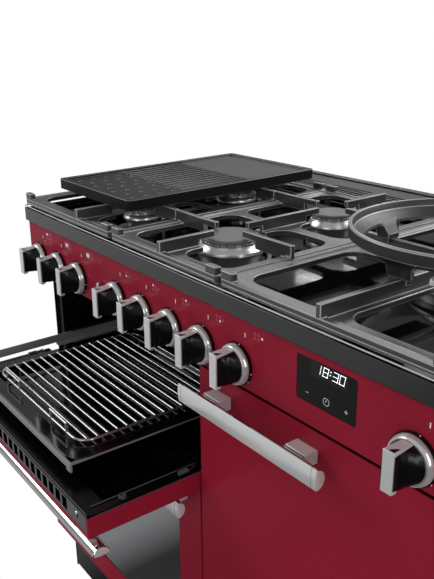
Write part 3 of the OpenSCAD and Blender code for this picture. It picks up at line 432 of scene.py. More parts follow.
def place(name, shape, material, body, smooth=30):
    """Makes a finished object of a bmesh and lets it ride on a body."""
    mesh = bpy.data.meshes.new(name)
    bmesh.ops.recalc_face_normals(shape, faces=shape.faces)
    shape.to_mesh(mesh)
    shape.free()
    mesh.materials.append(material)
    for polygon in mesh.polygons:
        polygon.use_smooth = True
    mesh.set_sharp_from_angle(angle=math.radians(smooth))
    piece = bpy.data.objects.new(name, mesh)
    bpy.context.collection.objects.link(piece)
    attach(piece, body)
    return piece


def round_edges(piece, width_mm, segments=2, edge=None):
    """Rounds a piece's sharp edges, so that they catch the light, and may give them a second, paler material:
    a painted highlight.
    """
    bevel = piece.modifiers.new("Edge radius", "BEVEL")
    bevel.width = width_mm * MM
    bevel.segments = segments
    bevel.limit_method = "ANGLE"
    bevel.angle_limit = math.radians(35)
    # An edge with a painted highlight keeps its whole width in the corners, which settle then mends
    bevel.use_clamp_overlap = not edge
    if edge:
        piece.data.materials.append(edge)
        bevel.material = 1
        settle(piece, 0.6 * width_mm * MM)


def settle(piece, reach):
    """Makes a rounded piece plain, and draws stray corners back to the surface that they came from."""
    shape = bmesh.new()
    shape.from_mesh(piece.data)
    surface = BVHTree.FromBMesh(shape)
    shape.free()
    bpy.context.view_layer.update()
    made = bpy.data.meshes.new_from_object(piece.evaluated_get(bpy.context.evaluated_depsgraph_get()))
    for vertex in made.vertices:
        near, _, _, away = surface.find_nearest(vertex.co)
        if away > reach:
            vertex.co = near
    piece.modifiers.clear()
    shape = bmesh.new()
    shape.from_mesh(made)
    shape.to_mesh(piece.data)
    shape.free()
    bpy.data.meshes.remove(made)


def dress(node, material, width_mm, segments=2, test=None, suffix="", edge=None):
    """Copies a CAD node, or the faces of it that pass a test, with merged triangles and rounded edges."""
    shape = bmesh.new()
    shape.from_mesh(FRAME["nodes"][node].data)
    bmesh.ops.remove_doubles(shape, verts=shape.verts, dist=2e-5)
    bmesh.ops.dissolve_limit(shape, angle_limit=math.radians(0.8), verts=shape.verts, edges=shape.edges)
    if test:
        others = [face for face in shape.faces if not test(face.calc_center_median())]
        bmesh.ops.delete(shape, geom=others, context="FACES")
    piece = place("dressed_" + node + suffix, shape, material, body_of(node))
    round_edges(piece, width_mm, segments, edge)
    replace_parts(piece, node)


def keep(node, material):
    """Leaves a CAD node as it is, with a better material."""
    slots = FRAME["nodes"][node].data.materials
    slots.clear()
    slots.append(material)


def block(shape, low, high):
    """Adds a box between two corners, in metres."""
    size = [h - l for l, h in zip(low, high)]
    middle = [(h + l) / 2 for l, h in zip(low, high)]
    bmesh.ops.create_cube(shape, size=1, matrix=Matrix.Translation(middle) @ Matrix.Diagonal(size + [1]))


def turned(shape, profile, centre, segments, axis="Y"):
    """Turns a profile of (radius, along) points about an axis through centre."""
    rings = []
    for radius, along in profile:
        ring = []
        for i in range(segments):
            a = 2 * math.pi * i / segments
            u, v = radius * math.cos(a), radius * math.sin(a)
            offset = Vector((u, along, v)) if axis == "Y" else Vector((u, v, along))
            ring.append(shape.verts.new(Vector(centre) + offset))
        rings.append(ring)
    for a, b in zip(rings, rings[1:]):
        for i in range(segments):
            shape.faces.new((a[i], a[(i + 1) % segments], b[(i + 1) % segments], b[i]))
    return rings


def lofted(shape, loops):
    """Joins closed loops of equal length into a skin and closes both ends."""
    rows = [[shape.verts.new(p) for p in loop] for loop in loops]
    for a, b in zip(rows, rows[1:]):
        for i in range(len(a)):
            j = (i + 1) % len(a)
            shape.faces.new((a[i], a[j], b[j], b[i]))
    shape.faces.new(rows[0])
    shape.faces.new(rows[-1])


def extruded(shape, outline, low, high, axis="X"):
    """Extrudes a closed outline from low to high along X, or along Z."""
    def point(p, along):
        return Vector((along, p[0], p[1]) if axis == "X" else (p[0], p[1], along))
    lofted(shape, [[point(p, along) for p in outline] for along in (low, high)])


def wire(shape, points, radius):
    """Sweeps a round wire of eight sides along a line of points."""
    points = [Vector(p) for p in points]
    rings = []
    for i, p in enumerate(points):
        before = points[max(i - 1, 0)]
        after = points[min(i + 1, len(points) - 1)]
        along = (after - before).normalized()
        side = along.orthogonal().normalized()
        if rings:
            side = (last_side - along * last_side.dot(along)).normalized()
        last_side = side
        up = along.cross(side)
        rings.append([p + (side * math.cos(a) + up * math.sin(a)) * radius
                      for a in [math.pi * k / 4 for k in range(8)]])
    lofted(shape, rings)


def repeating(name, *inputs):
    """Starts a repeating tree, or finds the one that is there, which has no sockets to read any more."""
    tree = bpy.data.node_groups.get(name)
    if tree:
        return tree, None
    tree = bpy.data.node_groups.new(name, "GeometryNodeTree")
    kinds = (("Places", "Geometry"),) + inputs + (("Turn", "Vector"), ("Material", "Material"))
    for label, kind in kinds:
        tree.interface.new_socket(label, in_out="INPUT", socket_type="NodeSocket" + kind)
    tree.interface.new_socket("Geometry", in_out="OUTPUT", socket_type="NodeSocketGeometry")
    return tree, add(tree, "NodeGroupInput").outputs


def strewn(tree, source, instance):
    """Ends a repeating tree: the instance goes on each place, is made real and gets its material."""
    turn = add(tree, "FunctionNodeEulerToRotation", links={"Euler": source["Turn"]})
    spread = add(tree, "GeometryNodeInstanceOnPoints", links={
        "Points": source["Places"], "Instance": instance, "Rotation": turn.outputs["Rotation"]})
    real = add(tree, "GeometryNodeRealizeInstances", links={"Geometry": spread.outputs["Instances"]})
    paint = add(tree, "GeometryNodeSetMaterial", links={
        "Geometry": real.outputs["Geometry"], "Material": source["Material"]})
    add(tree, "NodeGroupOutput", links={"Geometry": paint.outputs["Geometry"]})


def dot_tree():
    """Round dots, squashed along one axis where they are printed on a flat face."""
    tree, source = repeating("Dots", ("Radius", "Float"), ("Squash", "Vector"))
    if source:
        ball = add(tree, "GeometryNodeMeshUVSphere", {"Segments": 16, "Rings": 8},
                   {"Radius": source["Radius"]})
        flat = add(tree, "GeometryNodeTransform", links={
            "Geometry": ball.outputs["Mesh"], "Scale": source["Squash"]})
        strewn(tree, source, flat.outputs["Geometry"])
    return tree


def swept(tree, path, radius, settings=None):
    """Sweeps a round line of six sides along a path."""
    line = add(tree, "GeometryNodeCurvePrimitiveCircle", {"Resolution": 6}, {"Radius": radius})
    tube = add(tree, "GeometryNodeCurveToMesh", settings, {
        "Curve": path.outputs["Curve"], "Profile Curve": line.outputs["Curve"]})
    return tube.outputs["Mesh"]


def loop_tree():
    """Small printed circles, each a thin line swept round."""
    tree, source = repeating("Loops", ("Radius", "Float"), ("Line", "Float"))
    if source:
        path = add(tree, "GeometryNodeCurvePrimitiveCircle", {"Resolution": 20}, {"Radius": source["Radius"]})
        strewn(tree, source, swept(tree, path, source["Line"]))
    return tree


def spring_tree():
    """Coil springs: a round wire swept along a spiral of eight turns."""
    tree, source = repeating("Springs", ("Radius", "Float"), ("Length", "Float"), ("Wire", "Float"))
    if source:
        coil = add(tree, "GeometryNodeCurveSpiral", {"Resolution": 14, "Rotations": 8.0}, {
            "Start Radius": source["Radius"], "End Radius": source["Radius"], "Height": source["Length"]})
        strewn(tree, source, swept(tree, coil, source["Wire"], {"Fill Caps": True}))
    return tree


def screw_tree():
    """Cross-head screws: a low cone with two slots cut across its top."""
    tree, source = repeating("Screw heads", ("Radius", "Float"), ("Top radius", "Float"),
                             ("Height", "Float"), ("Slot", "Vector"))
    if not source:
        return tree
    head = add(tree, "GeometryNodeMeshCone", {"Vertices": 28}, {
        "Radius Bottom": source["Radius"], "Radius Top": source["Top radius"], "Depth": source["Height"]})
    slot = add(tree, "GeometryNodeMeshCube", links={"Size": source["Slot"]})
    lift = add(tree, "ShaderNodeCombineXYZ", links={"Z": source["Height"]})
    both = add(tree, "GeometryNodeJoinGeometry")
    for angle in (0, math.pi / 2):
        moved = add(tree, "GeometryNodeTransform", {"Rotation": (0, 0, angle)}, {
            "Geometry": slot.outputs["Mesh"], "Translation": lift.outputs["Vector"]})
        tree.links.new(moved.outputs["Geometry"], both.inputs["Geometry"])
    cut = add(tree, "GeometryNodeMeshBoolean", {"operation": "DIFFERENCE", "solver": "MANIFOLD"}, {
        "Mesh 1": head.outputs["Mesh"], "Mesh 2": both.outputs["Geometry"]})
    strewn(tree, source, cut.outputs["Mesh"])
    return tree


def repeat(name, tree, places, values, body, smooth=30):
    """Runs a repeating tree on a list of places and keeps the result as a plain mesh."""
    mesh = bpy.data.meshes.new(name + "_places")
    mesh.from_pydata(places, [], [])
    piece = bpy.data.objects.new(name, mesh)
    bpy.context.collection.objects.link(piece)
    modifier = piece.modifiers.new(name, "NODES")
    modifier.node_group = tree
    for item in tree.interface.items_tree:
        if item.in_out == "INPUT" and item.name in values:
            modifier[item.identifier] = values[item.name]
    bpy.context.view_layer.update()
    ready = piece.evaluated_get(bpy.context.evaluated_depsgraph_get())
    made = bpy.data.meshes.new_from_object(ready)
    piece.modifiers.remove(modifier)
    piece.data = made
    for polygon in made.polygons:
        polygon.use_smooth = True
    made.set_sharp_from_angle(angle=math.radians(smooth))
    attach(piece, body)


class FinishSettings(bpy.types.PropertyGroup):
    door_colour: bpy.props.StringProperty(
        name="Door colour", description="Colour of doors and control panel, sRGB hex", default="#931d32")
    clock_hours: bpy.props.IntProperty(
        name="Hours", description="Hours that the clock shows", default=18, min=0, max=23)
    clock_minutes: bpy.props.IntProperty(
        name="Minutes", description="Minutes that the clock shows", default=30, min=0, max=59)


class StageSettings(bpy.types.PropertyGroup):
    floor_size: bpy.props.FloatProperty(
        name="Floor", description="Width of the floor", default=14.0, unit="LENGTH")
    lens: bpy.props.FloatProperty(
        name="Lens", description="Focal length of the camera in mm", default=46.27, unit="CAMERA")
    eye: bpy.props.FloatVectorProperty(
        name="Eye", description="Place of the camera", default=(0.7742, -0.7215, 1.2065), subtype="XYZ",
        unit="LENGTH")
    turn: bpy.props.FloatVectorProperty(
        name="Turn", description="Yaw, pitch and roll of the camera", default=(
            math.radians(55.5), math.radians(-19.2), math.radians(-1.5)), subtype="EULER")


class COOKER_OT_carcass(bpy.types.Operator):
    """Finish the body, panels, cavities and hidden works"""
    bl_idname = "cooker.carcass"
    bl_label = "Body and cavities"

    def execute(self, context):
        for node in ("chassis", "side_panels", "plinth", "storage_drawer"):
            dress(node, black_powder_coat(), 0.6)
        dress("control_panel", red_enamel(), 0.8)
        dress("hob_trim", charcoal_paint(), 1.0, 3)
        for node in ("grill_cavity", "main_cavity", "tall_cavity", "fan_baffles"):
            keep(node, black_enamel())
        for node in ("back_panel", "levelling_feet", "gas_rail", "grill_runners", "fan_motors",
                     "main_fan", "tall_fan"):
            keep(node, zinc_plate())
        keep("gas_taps", machined_brass())
        keep("rotary_switches", cream_moulding())
        keep("grill_element", oxidised_sheath())
        keep("door_seals", silicone_rubber())
        for node in ("shelf_guides", "main_shelf", "tall_shelf"):
            keep(node, polished_chrome())
        return {"FINISHED"}


class COOKER_OT_hob(bpy.types.Operator):
    """Finish the hob, pan supports, griddle and wok ring"""
    bl_idname = "cooker.hob"
    bl_label = "Hob"

    def execute(self, context):
        dress("hob_tray", deep_enamel(), 1.2, 3)
        self.trim_highlight_wire()
        dress("flue_vent", black_powder_coat(), 0.8)
        for node in ("grate_left", "grate_centre", "grate_right"):
            # The pan supports and the wok ring get a paler iron on their rounded edges: a painted highlight
            dress(node, cast_iron(), 0.9, edge=edge_highlight_iron())
            self.front_beads(node)
        dress("wok_ring", ring_iron(), 0.9, edge=edge_highlight_iron())
        dress("griddle", griddle_iron(), 0.7, edge=griddle_edge_highlight())
        dress("burner_bases", turned_aluminium(), 0.5)
        dress("burner_caps", cap_enamel(), 1.2, 3)
        keep("spark_plugs", glazed_ceramic())
        return {"FINISHED"}

    def front_beads(self, node):
        """Two rolled beads along the front of a pan support, in the paler edge iron: a painted highlight."""
        low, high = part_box(node)
        ends = (low[0] + 0.006, high[0] - 0.006)
        shape = bmesh.new()
        for down in (0.0158, 0.0216):
            wire(shape, [(x, low[1] + 0.0002, high[2] - down) for x in ends], 0.0008)
        place("highlight_beads_" + node, shape, edge_highlight_iron(), "cooker")

    def trim_highlight_wire(self):
        """A bright silver wire along the trim's upper front edge and down its ends: a painted highlight."""
        low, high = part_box("hob_trim")
        z = high[2] - 0.0006
        back = high[1] - 0.004
        edge = 0.0006
        corner = 0.0016
        shape = bmesh.new()
        wire(shape, [(low[0] + edge, back, z), (low[0] + edge, low[1] + corner, z),
                     (low[0] + corner, low[1] + edge, z), (high[0] - corner, low[1] + edge, z),
                     (high[0] - edge, low[1] + corner, z), (high[0] - edge, back, z)], 0.0009)
        place("trim_highlight_wire", shape, silver_plate(), "cooker")


class COOKER_OT_knobs(bpy.types.Operator):
    """Make the knobs with their bars, grips, rings and bezels"""
    bl_idname = "cooker.knobs"
    bl_label = "Knobs"

    def execute(self, context):
        keep("knob_bezels", knob_moulding())
        shape = bmesh.new()
        for name in KNOBS:
            profile = [(radius, RING_HIGH[1] - out) for radius, out in RING_PROFILE]
            turned(shape, profile, (middle_x(name), 0, KNOB_Z), 64)
        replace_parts(place("polished_rings", shape, plated_ring(), "cooker"), "knob_rings")
        for name in KNOBS:
            self.knob(name)
        return {"FINISHED"}

    def knob(self, name):
        """Makes a knob: a plated bar through a black grip, with a thin black sheet on the bar's top that
        stands for a dark recess: painted shade.
        """
        low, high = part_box(name)
        x = middle_x(name)
        front = low[1]
        back = RING_LOW[1] - 0.0005
        half = (high[2] - low[2]) / 2
        radius = half - 0.0005
        bar = 0.0065
        # The grip sweeps from the bar's edge at the front to a round base, with two finger flutes
        lap = 0.0016
        steps = 20
        rows = 26
        shape = bmesh.new()
        for side in (-1, 1):
            loops = []
            for i in range(steps + 1):
                t = i / steps
                y = front + lap + (back - front - lap) * t
                flute = 0.0011 * math.sin(math.pi * min(t / 0.9, 1) * 2.5) ** 2 * (1 - t)
                spread = 0.16 + 0.84 * t ** 1.5
                loop = []
                for j in range(rows + 1):
                    v = math.sin(math.pi / 2 * (2 * j / rows - 1))
                    z = (radius - 0.0034 * (1 - t)) * v * 0.985
                    chord = math.sqrt(max(radius ** 2 - z ** 2, 0))
                    w = bar - 0.0004 + max(chord - bar, 0.0006) * spread - flute * (1 - abs(v) ** 3)
                    loop.append(Vector((x + side * w, y, KNOB_Z + z)))
                for j in range(rows, -1, -1):
                    loop.append(Vector((x + side * 0.003, y, loop[j][2])))
                loops.append(loop)
            lofted(shape, loops)
        stem, bore, deep = 0.0055, 0.0033, 0.0085
        turned(shape, [(stem, back), (stem, back + deep), (bore, back + deep), (bore, back)],
               (x, 0, KNOB_Z), 24)
        grip = place(name + "_grip", shape, knob_moulding(), name, 40)
        # The plated bar laps over the grip at the front; a thin black sheet on the cap at its top stands for
        # a dark recess: painted shade
        shape = bmesh.new()
        foot = KNOB_Z - half
        top = KNOB_Z + half
        outline = [(front, foot), (front, top), (back, top), (back, foot + 0.0026),
                   (front + 0.0085, foot + 0.0026), (front + 0.0068, foot)]
        extruded(shape, outline, x - bar, x + bar)
        plate = place(name + "_bar", shape, silver_plate(), name)
        round_edges(plate, 0.7, 3)
        shape = bmesh.new()
        corner = (x + bar - 0.0014, front + 0.0018)
        arc = ((0, 0), (-0.0002, 0.0092), (-0.0020, 0.0076), (-0.0040, 0.0052), (-0.0056, 0.0026),
               (-0.0068, 0.0002))
        outline = [(corner[0] + dx, corner[1] + dy) for dx, dy in arc]
        extruded(shape, outline, top - 0.0004, top + 0.00012, "Z")
        recess_shade = place(name + "_recess_shade", shape, knob_moulding(), name)
        for piece in (grip, plate, recess_shade):
            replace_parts(piece, name)


class COOKER_OT_doors(bpy.types.Operator):
    """Finish the doors and make their handles"""
    bl_idname = "cooker.doors"
    bl_label = "Doors and handles"

    def execute(self, context):
        for node in ("grill_door_skin", "main_door_skin", "tall_door_skin"):
            dress(node, red_enamel(), 1.2, 3)
        # The slotted top edge of the liner, which faces forward while the door is down, is half gloss
        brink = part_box("grill_door_liner")[0][1] + 0.0004
        dress("grill_door_liner", worn_enamel(), 1.2, test=lambda p: p.y > brink)
        dress("grill_door_liner", half_gloss(), 1.2, test=lambda p: p.y <= brink, suffix="_top")
        self.top_highlight_line()
        dress("main_door_liner", black_powder_coat(), 0.8)
        dress("tall_door_liner", black_powder_coat(), 0.8)
        keep("main_door_glass", tinted_glass())
        for door, inset_mm in (("grill", 26), ("main", 26), ("tall", 33)):
            self.handle(door + "_handle", door + "_door", inset_mm)
        self.edges()
        self.grill_hinges()
        return {"FINISHED"}

    def top_highlight_line(self):
        """A light wire along the inner side of the dropped door's top edge: a painted highlight."""
        low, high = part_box("grill_door_liner")
        shape = bmesh.new()
        y = low[1] + 0.0006
        z = high[2] - 0.0006
        wire(shape, [(low[0] + 0.002, y, z), (high[0] - 0.002, y, z)], 0.0007)
        wire(shape, [(high[0] - 0.0012, y, z), (high[0] - 0.0012, y, low[2] + 0.006)], 0.0009)
        place("door_top_highlight", shape, heated_steel(), "grill_door")

    def edges(self):
        """Lays a black strip over the upper edges of the closed doors, a painted shade, and leaves the
        dropped door's side edges bare.
        """
        under = 0.0004
        over = 0.0003
        for node, body in (("main_door_skin", "main_door"), ("tall_door_skin", "tall_door")):
            # Painted shade: a black strip over the closed door's top face
            low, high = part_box(node)
            shape = bmesh.new()
            block(shape, (low[0] + 0.002, FACE_Y + 0.0014, high[2] - under),
                  (high[0] - 0.002, high[1], high[2] + over))
            place(node + "_mask", shape, black_powder_coat(), body)
        low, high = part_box("grill_door_skin")
        shape = bmesh.new()
        for x in (low[0] + 0.0003, high[0] - 0.0017):
            block(shape, (x, low[1] + 0.012, high[2] - under), (x + 0.0014, high[1] - 0.004, high[2] + over))
        place("grill_door_edges", shape, heated_steel(), "grill_door")

    def grill_hinges(self):
        """A light line along each recess edge of the liner, which is a painted highlight, then the rubber
        bumpers and the hinge springs on the dropped door.
        """
        low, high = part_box("grill_door_liner")
        top = high[2] - 0.003
        beads = bmesh.new()
        bumpers = bmesh.new()
        hooks = bmesh.new()
        springs = []
        for side, edge in ((1, high[0]), (-1, low[0])):
            # A light wire along the edge of the liner's recess: a painted highlight
            x = edge - side * 0.0152
            wire(beads, [(x, FACE_Y - 0.160, top + 0.0003), (x, FACE_Y + 0.003, top + 0.0003)], 0.0008)
            x = edge - side * 0.008
            rings = turned(bumpers, BUMPER_PROFILE, (x, FACE_Y - 0.1165, top), 24, "Z")
            bumpers.faces.new(rings[0])
            bumpers.faces.new(rings[-1])
            x = edge - side * 0.0045
            wire(hooks, [(x, FACE_Y - 0.016, top + 0.0012), (x - side * 0.0015, FACE_Y - 0.006, top + 0.0022),
                         (x - side * 0.003, FACE_Y - 0.001, top + 0.0042)], 0.0011)
            springs.append((edge - side * 0.0065, FACE_Y - 0.0295, top + 0.0012))
        place("door_recess_highlights", beads, heated_steel(), "grill_door")
        place("door_bumpers", bumpers, bumper_rubber(), "grill_door", 40)
        place("hinge_hooks", hooks, polished_chrome(), "grill_door", 60)
        repeat("hinge_springs", spring_tree(), springs, {
            "Radius": 0.0026, "Length": 0.016, "Wire": 0.0008, "Turn": (-math.pi / 2, 0, 0),
            "Material": heated_steel()}, "grill_door", 60)

    def handle(self, node, body, inset_mm):
        """Makes a handle: a bar with an end cap at each end, on two mounts with dark spacers."""
        low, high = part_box(node)
        dropped = node == "grill_handle"
        tall = high[1] - low[1] if dropped else high[2] - low[2]
        reach = high[2] - low[2] if dropped else high[1] - low[1]

        def point(x, out, up):
            """A point at x, out from the door's face and up from the bar's lower edge."""
            if dropped:
                return Vector((x, high[1] - up, high[2] - out))
            return Vector((x, high[1] - out, low[2] + up))

        def skin(shape, stations):
            """The bar's section through stations of (x, scale about its middle)."""
            out, up = reach - BAR_DEEP / 2, tall / 2
            lofted(shape, [[point(x, out + (BAR_DEEP / 2 - d) * scale, up + (u - BAR_HALF) * scale)
                            for d, u in BAR_SECTION] for x, scale in stations])

        def slab(shape, x, wide, near, far, foot, top):
            outline = [(near, foot), (near, top), (far, top), (far, foot)]
            lofted(shape, [[point(a, out, up) for out, up in outline] for a in (x, x + wide)])

        # Each end cap is a separate casting, so a fine groove runs round the bar just before it
        groove = low[0] + 0.007
        stations = [(low[0], 0.93), (low[0] + 0.0008, 1.0), (groove, 1.0), (groove + 0.0002, 0.965),
                    (groove + 0.0006, 0.965), (groove + 0.0008, 1.0)]
        stations += [(low[0] + high[0] - x, scale) for x, scale in reversed(stations)]
        shape = bmesh.new()
        skin(shape, stations)
        bar = place(node + "_bar", shape, satin_chrome(), body, 25)
        # Only the bar's face is brushed and pale, its flanks polished and so mirroring the darker room: the
        # two materials, given by which way each face points, are partly a painted sheen
        bar.data.materials.append(polished_chrome())
        ahead = point(0, 1, 0) - point(0, 0, 0)
        for polygon in bar.data.polygons:
            if polygon.normal.dot(ahead) < 0.75:
                polygon.material_index = 1
        shape = bmesh.new()
        for x, out in ((low[0], -0.0003), (high[0], 0.0003)):
            skin(shape, ((x - 4 * out, 0.9), (x + out, 0.9), (x + 1.6 * out, 0.84)))
        ends = place(node + "_ends", shape, silver_plate(), body, 25)
        mounts = bmesh.new()
        spacers = bmesh.new()
        wide = 0.032
        seat = reach - BAR_DEEP
        for x in (low[0] + inset_mm * MM, high[0] - inset_mm * MM - wide):
            slab(mounts, x, wide, 0, seat - 0.004, 0.004, 0.020)
            slab(mounts, x, wide, seat - 0.0012, seat + 0.0035, 0.0045, 0.0195)
            slab(spacers, x + 0.002, wide - 0.004, seat - 0.004, seat + 0.002, 0.006, 0.018)
        mounts = place(node + "_mounts", mounts, silver_plate(), body)
        round_edges(mounts, 0.8, 3)
        spacers = place(node + "_spacers", spacers, spacer_moulding(), body)
        for piece in (bar, ends, mounts, spacers):
            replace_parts(piece, node)


class COOKER_OT_grill(bpy.types.Operator):
    """Finish the grill pan, its rack and its carriage"""
    bl_idname = "cooker.grill"
    bl_label = "Grill pan"

    def execute(self, context):
        dress("grill_pan", black_enamel(), 1.5, 3)
        keep("grill_rack", rack_chrome())
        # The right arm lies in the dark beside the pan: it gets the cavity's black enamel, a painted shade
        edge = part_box("grill_pan")[1][0] + 0.004
        dress("grill_carriage", pressed_steel(), 0.4, test=lambda p: p.x <= edge)
        dress("grill_carriage", worn_enamel(), 0.4, test=lambda p: p.x > edge, suffix="_right")
        self.screws()
        return {"FINISHED"}

    def screws(self):
        """Cross-head screws in the open door's top edge and in the carriage's arm."""
        head = {"Radius": 0.0034, "Top radius": 0.0026, "Height": 0.0012, "Slot": (0.0034, 0.0007, 0.0016),
                "Material": polished_chrome()}
        low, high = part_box("grill_door_liner")
        places = [(x, low[1], high[2] - 0.0135) for x in (high[0] - 0.027, low[0] + 0.027)]
        head["Turn"] = (math.pi / 2, 0, 0)
        repeat("door_screws", screw_tree(), places, head, "grill_door")
        low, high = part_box("grill_carriage")
        # The arm's screw is sunk, because the runner passes 0.3 mm beside the arm
        head["Turn"] = (0, -math.pi / 2, 0)
        head["Top radius"] = 0.0032
        places = [(low[0] + 0.001, FACE_Y - 0.056, high[2] - 0.0085)]
        repeat("arm_screws", screw_tree(), places, head, "grill_pan")


class COOKER_OT_controls(bpy.types.Operator):
    """Make the clock's display and the printed marks of the panel"""
    bl_idname = "cooker.controls"
    bl_label = "Clock and marks"

    def execute(self, context):
        dress("clock_glass", clock_glass(), 0.4)
        keep("light_button", polished_chrome())
        self.marks()
        self.clock(context.scene.cooker_finish)
        return {"FINISHED"}

    def stroke(self, shape, left, foot, right, top, thick=INK):
        """A printed bar on the panel's face."""
        block(shape, (left, FACE_Y - thick, foot), (right, FACE_Y, top))

    def marks(self):
        """Prints a line for off and a plan of the burners beside the knobs, and dots on the bezels."""
        white = bmesh.new()
        solid = []
        hollow = []
        burners = ((0, 0), (0, 1), (1, 1), (1, 0), (2, 0.5))
        for i, name in enumerate(KNOBS):
            x = middle_x(name)
            self.stroke(white, x + 0.0132, KNOB_Z + 0.0382, x + 0.0146, KNOB_Z + 0.0438)
            if 3 <= i <= 7:
                for k, (column, row) in enumerate(burners):
                    spot = (x + 0.0316 + 0.0062 * column, FACE_Y, KNOB_Z + 0.0432 + 0.0054 * row)
                    (solid if k == i - 3 else hollow).append(spot)
        # Small plans of the ovens beside the first three knobs, with one chamber filled, and a lamp
        pink = bmesh.new()
        wide, tall, line, wall = 0.0205, 0.0098, 0.0007, 0.0130
        lines = ((0, 0, wide, line), (0, tall - line, wide, tall), (0, 0, line, tall),
                 (wide - line, 0, wide, tall), (wall, 0, wall + 0.0006, tall))
        chambers = (("knob_1", 0.0284, (0.0006, 0.0060, 0.0072, 0.0092)),
                    ("knob_2", 0.0281, (0.0028, 0.0022, 0.0120, 0.0078)),
                    ("knob_3", 0.0305, (0.0018, 0.0018, 0.0106, 0.0078)))
        z = PANEL_HIGH[2] - 0.0201
        for name, beside, (left, foot, right, top) in chambers:
            x = middle_x(name) + beside
            for a, b, c, d in lines:
                self.stroke(pink, x + a, z + b, x + c, z + d)
            self.stroke(white, x + left, z + foot, x + right, z + top, INK_OVER)
        x = middle_x("knob_1")
        self.stroke(white, x + 0.0210, KNOB_Z + 0.0345, x + 0.0245, KNOB_Z + 0.0355)
        # The lamp's mark is over the light button, a little to its left
        x = middle_x("light_button") - 0.0017
        self.stroke(pink, x - 0.0005, PANEL_HIGH[2] - 0.0206, x + 0.0005, PANEL_HIGH[2] - 0.0176)
        hollow.append((x, FACE_Y, PANEL_HIGH[2] - 0.0146))
        place("printed_lines", white, printed_white(), "cooker")
        place("printed_plans", pink, printed_pink(), "cooker")
        upright = (math.pi / 2, 0, 0)
        repeat("printed_spots", dot_tree(), solid, {
            "Radius": 0.0017, "Squash": (1, 1, 0.12), "Turn": upright, "Material": printed_white()},
            "cooker")
        repeat("printed_circles", loop_tree(), hollow, {
            "Radius": 0.0013, "Line": 0.00022, "Turn": upright, "Material": printed_pink()},
            "cooker")
        low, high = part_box("knob_bezels")
        radius = (high[2] - low[2]) / 2
        dots = []
        for name in KNOBS:
            for hour in (0.4, 3.3, 4.2):
                angle = math.pi / 2 - math.radians(30 * hour)
                dots.append((middle_x(name) + radius * math.cos(angle), (low[1] + high[1]) / 2,
                             KNOB_Z + radius * math.sin(angle)))
        repeat("bezel_dots", dot_tree(), dots, {
            "Radius": 0.0008, "Squash": (1, 1, 1), "Turn": (0, 0, 0), "Material": printed_white()},
            "cooker")

    def clock(self, settings):
        """Lights the clock's digits in their window, over the signs for less, the time and more."""
        low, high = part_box("clock_glass")
        face = low[1]

        def bar(shape, left, foot, right, top, ahead=0.0001, behind=0.0003):
            block(shape, (left, face - ahead, foot), (right, face + behind, top))

        tall, wide, pitch, thick, cut = 0.0115, 0.0078, 0.0092, 0.0013, 0.00025
        base = high[2] - 0.014
        lit = bmesh.new()
        for k, digit in enumerate("%02d%02d" % (settings.clock_hours, settings.clock_minutes)):
            x = low[0] + 0.0276 + k * pitch + (0.0047 if k > 1 else 0) - (0.0014 if digit == "1" else 0)
            where = {
                "a": (x, tall - thick, wide, thick), "d": (x, 0, wide, thick),
                "g": (x, (tall - thick) / 2, wide, thick),
                "f": (x, tall / 2, thick, tall / 2), "b": (x + wide - thick, tall / 2, thick, tall / 2),
                "e": (x, 0, thick, tall / 2), "c": (x + wide - thick, 0, thick, tall / 2)}
            for part in SEGMENTS[digit]:
                px, pz, w, h = where[part]
                bar(lit, px + cut, base + pz + cut, px + w - cut, base + pz + h - cut)
        for up in (0.45, 0.78):
            z = base + tall * up
            bar(lit, low[0] + 0.0465, z - 0.0007, low[0] + 0.0479, z + 0.0007)
        for vertex in lit.verts:
            vertex.co.x += (vertex.co.z - base) * 0.2
        place("clock_digits", lit, lit_segment(), "cooker")
        window = bmesh.new()
        bar(window, low[0] + 0.0205, base - 0.0045, low[0] + 0.0725, base + tall + 0.0012, 0.00004)
        place("clock_window", window, display_window(), "cooker")
        z = low[2] + 0.0112
        left, middle, right = low[0] + 0.016, low[0] + 0.044, low[0] + 0.072
        marks = bmesh.new()
        for a, b, c, d in ((left - 0.002, z - 0.0003, left + 0.002, z + 0.0003),
                           (right - 0.0022, z - 0.0004, right + 0.0022, z + 0.0004),
                           (right - 0.0004, z - 0.0022, right + 0.0004, z + 0.0022),
                           (middle - 0.0003, z, middle + 0.0003, z + 0.0025),
                           (middle - 0.0015, z - 0.0003, middle, z + 0.0003)):
            bar(marks, a, b, c, d, behind=0.0002)
        inner, outer, front, back = 0.0039, 0.0045, face - 0.0001, face + 0.0002
        turned(marks, [(inner, front), (outer, front), (outer, back), (inner, back), (inner, front)],
               (middle, 0, z), 32)
        place("clock_symbols", marks, printed_white(), "cooker")


